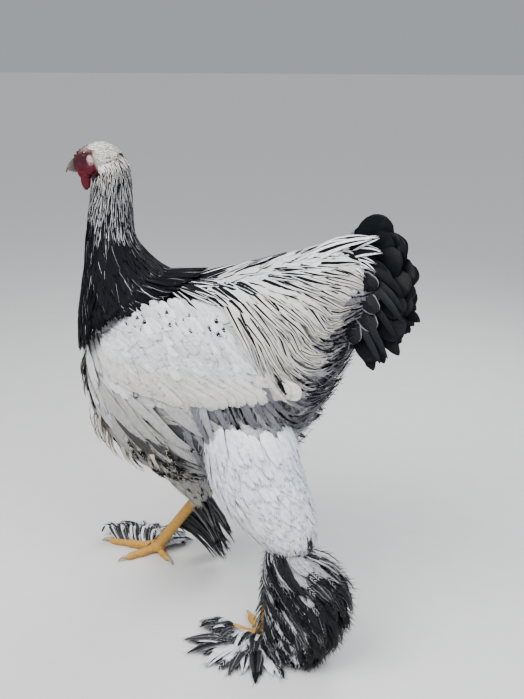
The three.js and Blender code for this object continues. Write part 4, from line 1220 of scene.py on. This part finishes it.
# %% Fans on the shanks
fan_keys = ("count", "roots", "aims", "reach", "fall", "half", "ink")
shank_fans = {
    "left": [(20, (0.0, 0.9), (-30, -62), (14, 18), (24, 20), 5, 0.6)],
    "right": [
        (34, (-0.05, 0.6), (122, 66), (56, 66), (50, 62), 9, 0.8),
        (30, (0.0, 0.95), (58, -20), (18, 30), (26, 22), 6, 0.6),
        (46, (0.0, 0.95), (-30, -100), (22, 26), (30, 22), 6, 0.85),
    ],
}
level_up = np.array([0, 0, 1.0])
for side, leg in legs.items():
    hock, hub = np.array(leg["hock"], float), np.array(leg["hub"], float)
    for number, row in enumerate(shank_fans[side]):
        fan = dict(zip(fan_keys, row))
        seed = 400 + 20 * number + (7 if side == "right" else 0)
        count = fan["count"]
        share = np.linspace(0, 1, count)
        root = mix(hock, hub, mix(*fan["roots"], share)[:, None])
        aim = np.radians(mix(*fan["aims"], share) + drawn(seed, count, 14))
        outward = np.stack([-np.sin(aim), leg["sign"] * np.cos(aim), 0 * aim], -1)
        reach = (mix(*fan["reach"], share) * (1 + drawn(seed + 1, count, 0.14)))[:, None]
        drop = np.minimum(mix(*fan["fall"], share) + drawn(seed + 2, count, 8), root[:, 2] - 4)[:, None]
        tip = root + outward * reach - level_up * drop
        bend = root + outward * reach * 0.55 - level_up * drop * 0.22
        spine, out = free(root, bend, tip, unit(outward + level_up * 0.9), steps=11)
        ink = fan["ink"] * (drawn(seed + 3, count) > -0.75 + 0.2 * number)
        edge = numbers(0.2, 0.2, 0.7 + drawn(seed + 4, count, 0.3))
        plumes("boots_" + side, spine, out, fan["half"], numbers(ink, 0.5, 0.3), edge,
               flat_home(root, (-130, 0), (130, 170)), 26, seed + 5,
               roll=0.1 * leg["sign"], blade=0.75, thick=0.4)
print("fans on the shanks:", {side: len(fans) for side, fans in shank_fans.items()})

# %% [markdown]
# Each foot wears two fans, one rooted along its outer toe and one along its middle toe. They arch up and
# then lie down on the ground.

# %% Foot feathers
foot_keys = ("toe", "stems", "aims", "reach", "count", "half", "arch")
foot_fans = {
    "left": [("outer", (38, 0), (4, 164), (62, 66), 28, 12, 9),
             ("middle", (56, 0), (14, 120), (32, 46), 20, 11, 16)],
    "right": [("outer", (40, 0), (6, 134), (68, 50), 26, 10, 14),
              ("middle", (70, 0), (24, 100), (34, 40), 34, 8, 40)],
}
for side, fans in foot_fans.items():
    leg = legs[side]
    for number, row in enumerate(fans):
        fan = dict(zip(foot_keys, row))
        count, seed = fan["count"], 480 + 10 * number
        share = np.linspace(0, 1, count)
        aim = np.radians(mix(*fan["aims"], share) + drawn(seed, count, 9))
        outward = np.stack([np.cos(aim), leg["sign"] * np.sin(aim), 0 * aim], -1)
        reach = (mix(*fan["reach"], share) * (1 + drawn(seed + 1, count, 0.2)))[:, None]
        line = toe_line(leg, fan["toe"])
        root = np.stack([line(mix(*fan["stems"], s), 9) for s in share])
        bend = root + outward * reach * 0.5 + level_up * fan["arch"]
        tip = root + outward * reach - level_up * (6.5 - 4 * number)
        spine, out = free(root, bend, tip, np.broadcast_to(level_up, root.shape), steps=11)
        black = 0.95 * (drawn(seed + 2, count) > 0.25)
        dye = numbers(black, 0.45 * (drawn(seed + 3, count) > -0.2), 0.3)
        edge = numbers(0.22 * (drawn(seed + 4, count) > 0), 0.1, 0.85 + drawn(seed + 5, count, 0.15))
        plumes("foot_feathers_" + side, spine, out, fan["half"], dye, edge,
               flat_home(root, (-130, 0), (230, 60)), 24, seed + 6,
               roll=drawn(seed, count, 0.25), curl=0.15, blade=0.9, thick=0.4, ragged=0.2)
print("fans on the feet:", sum(len(fans) for fans in foot_fans.values()))

# %% [markdown]
# The tail is a steep roof of broad black vanes that shine green, with shorter curved coverts over their
# roots. Each tier lists its outline, how many feathers each side has, their half width, their lift over
# the level, their length, how far they spread to the side, how much they droop, how far out they stand
# and how pale their hems are.

# %% Tail
tail_length = 88
tier_keys = ("outline", "count", "half", "lift", "length", "spread", "droop", "stand", "hem")
tail_tiers = [dict(zip(tier_keys, row)) for row in (
    ("fan", 4, 22, (64, -14), (1.0, 0.94, 0.9), (2, 16), 8, 0, 0),
    ("plume", 6, 15, (-20, -62), (1.0, 1.04, 1.1), (12, 28), 12, 1, 0),
    ("long", 6, 18, (54, -58), (0.9, 0.84, 0.96), (7, 30), 16, 3.5, 0),
    ("lancet", 9, 5.5, (50, -56), (0.6, 0.82, 0.9), (13, 38), 40, 7, 0),
    ("round", 7, 12, (34, -86), (0.4, 0.5, 0.76), (16, 34), 16, 8, -0.5),
)]
for number, tier in enumerate(tail_tiers):
    for sign in (1, -1):
        seed = 500 + 10 * number + (5 if sign < 0 else 0)
        count, droop = tier["count"], tier["droop"]
        share = np.linspace(0, 1, count)
        lift = np.radians(mix(*tier["lift"], share) + drawn(seed, count, 4))
        reach = tail_length * np.interp(share, (0, 0.5, 1), tier["length"])
        reach = reach * (1 + drawn(seed + 1, count, 0.06))
        stand = sign * (3 + tier["stand"] + 1.6 * (np.arange(count) % 2))
        root = numbers(tail_root[0] - 4, stand, tail_root[2] + 14 * np.sin(lift))
        tip = numbers(tail_root[0] - reach * np.cos(lift), stand + sign * mix(*tier["spread"], share),
                      tail_root[2] + reach * np.sin(lift) - droop * 0.4)
        hang = numbers(droop * np.sin(lift) * -0.4, sign * tier["stand"], droop * np.cos(lift))
        out = unit(numbers(0, sign, mix(0.1, 0.5, share)))
        spine, ways = free(root, mix(root, tip, 0.5) + hang, tip, out, steps=15, dense=1.35)
        half = tier["half"] * (1 + drawn(seed + 2, count, 0.08))
        add_to("tail_coat", blades(
            spine, ways, half, tier["outline"], numbers(1, 0, tier["hem"]),
            numbers(0, 0, 0.5 + drawn(seed + 3, count, 0.3)), flat_home(root, (-200, 440), (-170, 520)),
            roll=0.1 * sign + drawn(seed + 4, count, 0.1), cup=0.1, ridge=0.4, ragged=0.12, seed=seed))
print("a tail of", sum(2 * tier["count"] for tier in tail_tiers), "feathers")

# %% [markdown]
# A material is a small network of nodes. These helpers join nodes in one line each, so that a finish
# reads like a formula.

# %% Helpers for materials
class Network:
    """The node tree of a new material, with one method for each kind of node used here."""

    def __init__(self, name, **settings):
        self.material = bpy.data.materials.new(name)
        self.material.use_nodes = True
        self.tree = self.material.node_tree
        self.shader = self.tree.nodes["Principled BSDF"]
        for label, value in settings.items():
            self.shader.inputs[label.replace("_", " ")].default_value = value

    def node(self, kind, **inputs):
        """A new node. Inputs are named, or numbered as i0, i1 and so on."""
        made = self.tree.nodes.new(kind)
        for label, value in inputs.items():
            self.plug(value, made.inputs[int(label[1:]) if label[1:].isdigit() else label.replace("_", " ")])
        return made

    def plug(self, value, socket):
        """Links a socket, or sets a constant."""
        if isinstance(value, bpy.types.NodeSocket):
            self.tree.links.new(value, socket)
        else:
            socket.default_value = value

    def math(self, operation, a, b=0.0, c=0.0, clamp=False):
        """One sum, product or other operation on up to three numbers."""
        made = self.node("ShaderNodeMath", i0=a, i1=b, i2=c)
        made.operation, made.use_clamp = operation, clamp
        return made.outputs[0]

    def blend(self, share, a, b, kind="MIX"):
        """Colour a goes over into colour b by the share."""
        made = self.tree.nodes.new("ShaderNodeMix")
        made.data_type, made.blend_type = "RGBA", kind
        for index, value in ((0, share), (6, a), (7, b)):
            self.plug(value, made.inputs[index])
        return made.outputs[2]

    def read(self, label):
        """The three numbers of a point attribute."""
        made = self.tree.nodes.new("ShaderNodeAttribute")
        made.attribute_name = label
        split = self.node("ShaderNodeSeparateXYZ", Vector=made.outputs["Vector"])
        return split.outputs[0], split.outputs[1], split.outputs[2]

    def noise(self, scale, detail=3.0):
        """Cloudy noise in the object's own space."""
        place = self.tree.nodes.new("ShaderNodeTexCoord").outputs["Object"]
        return self.node("ShaderNodeTexNoise", Vector=place, Scale=scale, Detail=detail).outputs["Fac"]

    def grey(self, level):
        """A grey whose red, green and blue are the same number."""
        return self.node("ShaderNodeCombineXYZ", i0=level, i1=level, i2=level).outputs[0]

    def paint(self, colour):
        """The colour of the surface."""
        self.plug(colour, self.shader.inputs["Base Color"])

    def bump(self, height, strength, distance):
        """Raises and sinks the surface by the height, as the light sees it."""
        made = self.node("ShaderNodeBump", Height=height, Strength=strength, Distance=distance)
        self.tree.links.new(made.outputs["Normal"], self.shader.inputs["Normal"])


print("a network has", sum(callable(value) for value in vars(Network).values()), "methods")

# %% [markdown]
# One network finishes every feather. The map runs across and along the vane. Ink blackens it all, the
# streak is a black middle that narrows to the tip, the shaft is a white line on black, and the tip can be
# dipped in black. Fine oblique lines are the barbs.

# %% Feathers' finish
white_plume, cream_plume, grey_plume = (0.77, 0.80, 0.86, 1), (0.80, 0.72, 0.53, 1), (0.17, 0.17, 0.20, 1)
barb_lines = 60.0


def feather_finish(name, black, roughness, shine):
    """Pale is grey to white by the tone, then warmed and mottled. It goes over into black where the ink,
    the streak or the dipped tip is at least a half. A line is a clamped ramp: steepness times the
    distance to its edge, plus a half."""
    net = Network(name, Roughness=roughness, Specular_IOR_Level=shine)
    vane = net.tree.nodes.new("ShaderNodeUVMap")
    vane.uv_map = "vane"
    split = net.node("ShaderNodeSeparateXYZ", Vector=vane.outputs["UV"])
    across = net.math("ABSOLUTE", net.math("MULTIPLY_ADD", split.outputs[0], 2.0, -1.0))
    along = split.outputs[1]
    ink, streak, shaft = net.read("dye")
    dipped, warm, tone = net.read("edge")
    grain = net.noise(900.0)
    narrowing = net.math("MULTIPLY", streak, net.math("MULTIPLY_ADD", along, -0.6, 1.1))
    streaked = net.math("MULTIPLY_ADD", net.math("SUBTRACT", narrowing, across), 9.0, 0.5, clamp=True)
    streaked = net.math("MULTIPLY", streaked, net.math("GREATER_THAN", streak, 0.01))
    end = net.math("SUBTRACT", along, net.math("SUBTRACT", 1.0, dipped))
    end = net.math("ADD", end, net.math("MULTIPLY_ADD", grain, 0.12, -0.06))
    tipped = net.math("MULTIPLY_ADD", end, 14.0, 0.5, clamp=True)
    tipped = net.math("MULTIPLY", tipped, net.math("GREATER_THAN", dipped, 0.01))
    shaft_line = net.math("MULTIPLY_ADD", across, -12.0, 1.6, clamp=True)
    shaft_line = net.math("MULTIPLY", shaft_line, net.math("MAXIMUM", shaft, 0.0))
    hem = net.math("MULTIPLY_ADD", across, 6.0, -4.9, clamp=True)
    hem = net.math("MULTIPLY", hem, net.math("ABSOLUTE", shaft))
    inked = net.math("SUBTRACT", ink, net.math("MAXIMUM", shaft_line, hem), clamp=True)
    dark = net.math("MAXIMUM", net.math("MAXIMUM", inked, streaked), tipped)
    pale = net.blend(tone, grey_plume, white_plume)
    pale = net.blend(net.math("MULTIPLY", warm, 0.6), pale, cream_plume)
    mottle = net.math("MULTIPLY_ADD", net.noise(160.0), 0.5, 0.72)
    pale = net.blend(1.0, pale, net.grey(mottle), "MULTIPLY")
    net.paint(net.blend(dark, pale, black))
    slope = net.math("MULTIPLY_ADD", across, -0.35, along)
    barbs = net.math("SINE", net.math("MULTIPLY", slope, barb_lines * 2 * math.pi))
    net.bump(barbs, 0.25, 0.0004)
    return net.material


feather_finishes = {
    "plumage_white": feather_finish("white_feather", (0.008, 0.008, 0.011, 1), 0.8, 0.2),
    "plumage_hackle": feather_finish("hackle_feather", (0.003, 0.004, 0.007, 1), 0.55, 0.16),
    "plumage_black": feather_finish("black_feather", (0.004, 0.0055, 0.0085, 1), 0.4, 0.3),
}
print("finishes:", ", ".join(feather_finishes))

# %% [markdown]
# All the blades of a piece become one mesh, so the whole coat is a few dozen objects and not ten
# thousand. Tips that leave the frame's box by more than a small overhang are pressed back to it. The
# shading breaks at a blade's edges but not over its shaft, where the points' numbers divide by three.

# %% The coat's pieces
coat_slots = {
    "hackle": "plumage_hackle", "tail_coat": "plumage_black", "boots_left": "plumage_black",
    "boots_right": "plumage_black",
}
overhang = np.array([0.008, 0.012, 0.010])
coat_floor = 0.4
near, far = (np.array(cad_box[0]) - overhang - shift) / MM, (np.array(cad_box[1]) + overhang - shift) / MM
coat_low, coat_high = np.array([-far[1], near[0], coat_floor]), np.array([-near[1], far[0], far[2]])
total = 0
for name, parts in coat.items():
    counts = np.cumsum([0] + [len(part["points"]) for part in parts])
    whole = {key: np.concatenate([part[key] for part in parts])
             for key in ("points", "vane", "bake", "dye", "edge")}
    faces = np.concatenate([part["faces"] + n for part, n in zip(parts, counts)])
    whole["points"] = np.clip(whole["points"], coat_low, coat_high)
    piece = mesh_piece(name, whole["points"], faces, {"vane": whole["vane"], "OFBake": whole["bake"]},
                       {"dye": whole["dye"], "edge": whole["edge"]},
                       lambda a, b: (a % 3 == b % 3) & (a % 3 > 0))
    slot = coat_slots.get(name.replace("_barbs", ""), "plumage_white")
    piece.data.materials.append(feather_finishes[slot])
    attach(piece, "root")
    total += len(faces)
    print(name, len(faces), "triangles")
print("the coat has", total, "triangles")

# %% [markdown]
# The skin's colour follows its places: crimson on the face, pale on the ear lobe, ochre scales on the
# legs, and under the feathers the same white and black as the coat, so that no gap shows.

# %% Skin colours
ochre, cream_down = (0.52, 0.31, 0.095), (0.42, 0.40, 0.35)
dusky_red, lobe_pink = (0.22, 0.13, 0.135), (0.50, 0.36, 0.34)


def all_over(colour, points):
    """One colour for every point."""
    return np.broadcast_to(colour, points.shape)


def skin_colours():
    """White, with black under the cape and the tail and grey under the silver neck."""
    points, _ = body_skin
    forward, _, up = points.T
    white, black = all_over((0.55, 0.55, 0.56), points), all_over((0.02, 0.02, 0.026), points)
    cape_share = ease(430, 466, up) * ease(-30, 0, forward) * ease(565, 530, up)
    tail_share = ease(-176, -196, forward) * ease(400, 440, up)
    silver = ease(530, 570, up)[:, None]
    body = mix(white, black, np.maximum(cape_share, tail_share)[:, None])
    return mix(body, all_over((0.5, 0.5, 0.5), points), silver)


def face_colours():
    """Crimson, darker above; dusky over the brow, cream where the crown's feathers begin, pink on the
    lobe."""
    local = (face_skin[0] - head_centre) @ head_axes.T
    x, y, z = local.T
    red = mix(np.array([0.065, 0.011, 0.020]), np.array([0.125, 0.010, 0.024]), ease(4, -14, z)[:, None])
    off_lobe = np.sqrt(((x + 3) / 4.6) ** 2 + ((np.abs(y) - 18) / 6) ** 2 + ((z - 1) / 5.8) ** 2)
    on_lobe = ease(1.25, 0.85, off_lobe)
    crown = ease(12, 17, z) * ease(6, -2, x)
    back = ease(-6, -11, x)
    made = mix(red, all_over(dusky_red, local), (ease(9, 14, z) * ease(26, 16, x))[:, None])
    made = mix(made, all_over(cream_down, local), np.maximum(crown, back)[:, None])
    return mix(made, all_over(lobe_pink, local), on_lobe[:, None])


scute_length = 4.2


def scutes():
    """Rows of scales: along the toes by the distance from the ball of the foot, and up the shanks by
    height."""
    forward, left, up = leg_skin[0].T
    hub_places = [leg["hub"] for leg in legs.values()]
    reach = np.min([np.hypot(forward - hub[0], left - hub[1]) for hub in hub_places], axis=0)
    row = np.where(up < 20, reach, 100 + up) * (2 * np.pi / scute_length)
    plain = np.zeros(len(body_skin[0]) + len(face_skin[0]))
    return np.concatenate([plain, row])


skin_colour = np.concatenate([skin_colours(), face_colours(), all_over(ochre, leg_skin[0])])
print(len(skin_colour), "points of skin have a colour")

# %% [markdown]
# Body, face and legs are put together as one skin object. Its finish takes the points' colours, darkens
# them between the scales and roughens the surface with fine pores.

# %% The skin and its finish
skin_floor = 0.1
skin_points, skin_faces = gather([body_skin, face_skin, leg_skin])
skin_points[:, 2] = np.maximum(skin_points[:, 2], skin_floor)
skin = mesh_piece("skin", skin_points, skin_faces,
                  numbers={"tint": skin_colour, "scute": numbers(scutes(), 0, 0)})
net = Network("skin_finish", Roughness=0.55, IOR=1.4)
tint = net.tree.nodes.new("ShaderNodeAttribute")
tint.attribute_name = "tint"
grain = net.noise(420.0, 4.0)
band = net.math("ABSOLUTE", net.math("SINE", net.math("MULTIPLY", net.read("scute")[0], 0.5)))
band = net.math("MINIMUM", net.math("MULTIPLY", band, 2.0), 1.0)
share = net.math("ADD", net.math("MULTIPLY_ADD", grain, 0.9, 0.35), net.math("MULTIPLY", band, 0.2))
net.paint(net.blend(1.0, tint.outputs["Color"], net.grey(share), "MULTIPLY"))
pores = net.tree.nodes.new("ShaderNodeTexVoronoi")
net.plug(900.0, pores.inputs["Scale"])
net.plug(net.tree.nodes.new("ShaderNodeTexCoord").outputs["Object"], pores.inputs["Vector"])
height = net.math("ADD", pores.outputs["Distance"], net.math("MULTIPLY", grain, 0.8))
net.bump(net.math("ADD", height, band), 0.5, 0.0006)
skin.data.materials.append(net.material)
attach(skin, "root")
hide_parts("torso", "neck", "head", "comb", "tail", *(f"{name}_{side}" for side in legs for name in (
    "wattle", "earlobe", "wing", "thigh", "shank", "foot")))
print("the skin has", len(skin_faces), "triangles")

# %% [markdown]
# The eye is a wet ball with a dark pupil in an orange-brown iris. How far each point lies off the way the
# eye looks travels with it, and a ramp of colours reads it.

# %% Eyes
for side, place in eye_places.items():
    points, faces = ellipsoid((0, 0, 0), (eye_radius,) * 3, rings=32, sides=40)
    facing = unit(np.array([0.25, 1.0 if side == "left" else -1.0, 0.02]))
    off_axis = np.arccos(np.clip(unit(points) @ facing, -1, 1))
    eye = mesh_piece("eye_ball_" + side, from_head(points + place), faces,
                     numbers={"ring": numbers(off_axis, 0, 0)})
    net = Network("eye_finish_" + side, Roughness=0.06)
    net.shader.inputs["Coat Weight"].default_value = 1.0
    ring, _, _ = net.read("ring")
    ramp = net.node("ShaderNodeValToRGB", Fac=ring)
    ramp.color_ramp.elements[0].position, ramp.color_ramp.elements[0].color = 0.36, (0.003, 0.002, 0.002, 1)
    ramp.color_ramp.elements[1].position, ramp.color_ramp.elements[1].color = 0.44, (0.09, 0.028, 0.008, 1)
    rim = ramp.color_ramp.elements.new(0.75)
    rim.color = (0.03, 0.01, 0.005, 1)
    net.paint(ramp.outputs["Color"])
    eye.data.materials.append(net.material)
    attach(eye, "root")
    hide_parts("eye_" + side)
print(len(eye_places), "eyes")

# %% [markdown]
# The beak is two horn shells, the upper one curved down over the lower. Each is a row of sections from
# its root to its point, flat where the two meet.

# %% The beak's halves
beak_rows = {
    "upper": curve_through([[26, 9, 8.5], [34, 7.5, 7.3], [42, 4, 4.8], [49, -1.5, 2.4], [54, -8, 0.9]]),
    "lower": curve_through([[26, 7, 7.5], [35, 6, 6.5], [44, 4, 4.4], [51, 2, 2]]),
}
gape_height, beak_root = -5, 23
beak_ends = {"upper": 54, "lower": 48}


def beak_half(which, rings=36, sides=36):
    """Sections across the beak: half width times cosine, and for the upper half sine times its height
    over the gape."""
    x, angle = crossed(np.linspace(beak_root, beak_ends[which], rings), sides)
    size, half = beak_rows[which](x)
    rise = np.sin(angle)
    if which == "upper":
        low = np.minimum(gape_height, size - 2)
        z = low + np.where(rise > 0, rise * (size - low), rise * 0.4)
    else:
        z = gape_height - 1.0 + np.where(rise > 0, rise * 0.4, rise * size)
    points = np.stack([x, np.cos(angle) * half, z], -1).reshape(-1, 3)
    return from_head(points), facing_out(points, grid_faces(rings, sides))


print("the gape is at", gape_height, "mm from the middle of the head")

# %% [markdown]
# The claws and the beak are horn, which changes colour toward the point and has faint streaks.

# %% Horn and beak
def horn_finish(name, base, tip):
    """Horn darkens from its root to its tip along a number that each point carries."""
    net = Network(name, Roughness=0.38)
    share, _, _ = net.read("root_share")
    streaks = net.noise(700.0, 2.0)
    share = net.math("ADD", share, net.math("MULTIPLY_ADD", streaks, 0.5, -0.25), clamp=True)
    net.paint(net.blend(share, base, tip))
    net.bump(streaks, 0.15, 0.0004)
    return net.material


beak_finish = horn_finish("beak_horn", (0.06, 0.05, 0.043, 1), (0.17, 0.145, 0.12, 1))
for which in beak_rows:
    points, faces = beak_half(which)
    local = (points - head_centre) @ head_axes.T
    share = ease(28, 54, local[:, 0])
    beak = mesh_piece("beak_horn_" + which, points, faces, numbers={"root_share": numbers(share, 0, 0)})
    beak.data.materials.append(beak_finish)
    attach(beak, "root")
    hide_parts("beak_" + which)
print(len(beak_rows), "halves of the beak")

# %% [markdown]
# Each claw is a slim bent cone at the end of its toe, and its point comes down almost to the ground.

# %% Claws
claw_sizes, claw_rings, claw_sides = [[3.0, 3.2], [2.3, 2.7], [1.4, 1.7], [0.3, 0.4]], 18, 14
claw_finish = horn_finish("claw_horn", (0.46, 0.38, 0.24, 1), (0.30, 0.25, 0.19, 1))
for side, leg in legs.items():
    for which in toe_list:
        place, length = toe_line(leg, which), toe_list[which]["length"]
        line = [place(length - 5, 5.2), place(length + claw_length * 0.45, 5.6),
                place(length + claw_length, 1.4)]
        points, faces = tube(line, claw_sizes, rings=claw_rings, sides=claw_sides)
        share = np.repeat(np.linspace(0, 1, claw_rings), claw_sides)
        claw = mesh_piece(f"claw_horn_{side}_{which}", points, faces,
                          numbers={"root_share": numbers(share, 0, 0)})
        claw.data.materials.append(claw_finish)
        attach(claw, "root")
        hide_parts(f"claw_{side}_{which}")
print("8 claws")

# %% [markdown]
# The bird stands on a plain pale floor, wide enough to fill the picture.

# %% Floor
floor_half = 40
floor_corners = np.array([[-1, -1, 0], [1, -1, 0], [1, 1, 0], [-1, 1, 0]]) * floor_half / MM
floor = mesh_piece("floor", floor_corners, np.array([[0, 2, 1], [0, 3, 2]]))
net = Network("floor_finish", Roughness=0.9)
speck = net.math("MULTIPLY_ADD", net.noise(30.0), 0.04, 0.60)
net.paint(net.grey(speck))
floor.data.materials.append(net.material)
print("the floor is", 2 * floor_half, "m wide")

# %% [markdown]
# Soft studio light falls on the bird: a broad lamp from ahead on its left side, a weaker one from behind
# on the same side, and one from its right side. The world and a sun as wide as an overcast sky fill the
# shadows.

# %% Light
world = bpy.data.worlds.new("studio")
world.use_nodes = True
background = world.node_tree.nodes["Background"]
background.inputs["Color"].default_value = (0.75, 0.78, 0.82, 1)
background.inputs["Strength"].default_value = 0.45
bpy.context.scene.world = world
bpy.context.scene.view_settings.look = "AgX - Medium High Contrast"
lamps = [
    {"place": (500, 900, 1500), "power": 24, "size": 1.0, "colour": (1.0, 0.98, 0.95)},
    {"place": (-900, 700, 1100), "power": 9, "size": 1.0, "colour": (0.95, 0.97, 1.0)},
    {"place": (-300, -900, 1300), "power": 10, "size": 1.0, "colour": (1.0, 1.0, 1.0)},
]
body_middle = np.array([0, 0, 350])
for number, lamp in enumerate(lamps):
    light = bpy.data.lights.new(f"lamp_{number}", "AREA")
    light.energy, light.size, light.color = lamp["power"], lamp["size"], lamp["colour"]
    point_at(bpy.data.objects.new(light.name, light), lamp["place"], body_middle - lamp["place"])
sky = bpy.data.lights.new("soft_sun", "SUN")
sky.energy, sky.angle = 1.1, math.radians(50)
point_at(bpy.data.objects.new(sky.name, sky), (0, 0, 2500), np.array([0.25, -0.45, -1.0]))
print(len(lamps), "lamps and a soft sun")

# %% [markdown]
# The box of the solids is written at the end. The coat's tips were pressed back to it above, with a small
# overhang.
# the coat may stand only a few millimetres past the solids.

# %% The size of the frame, and the end
print("the frame's box", [[round(v, 3) for v in corner] for corner in cad_box])
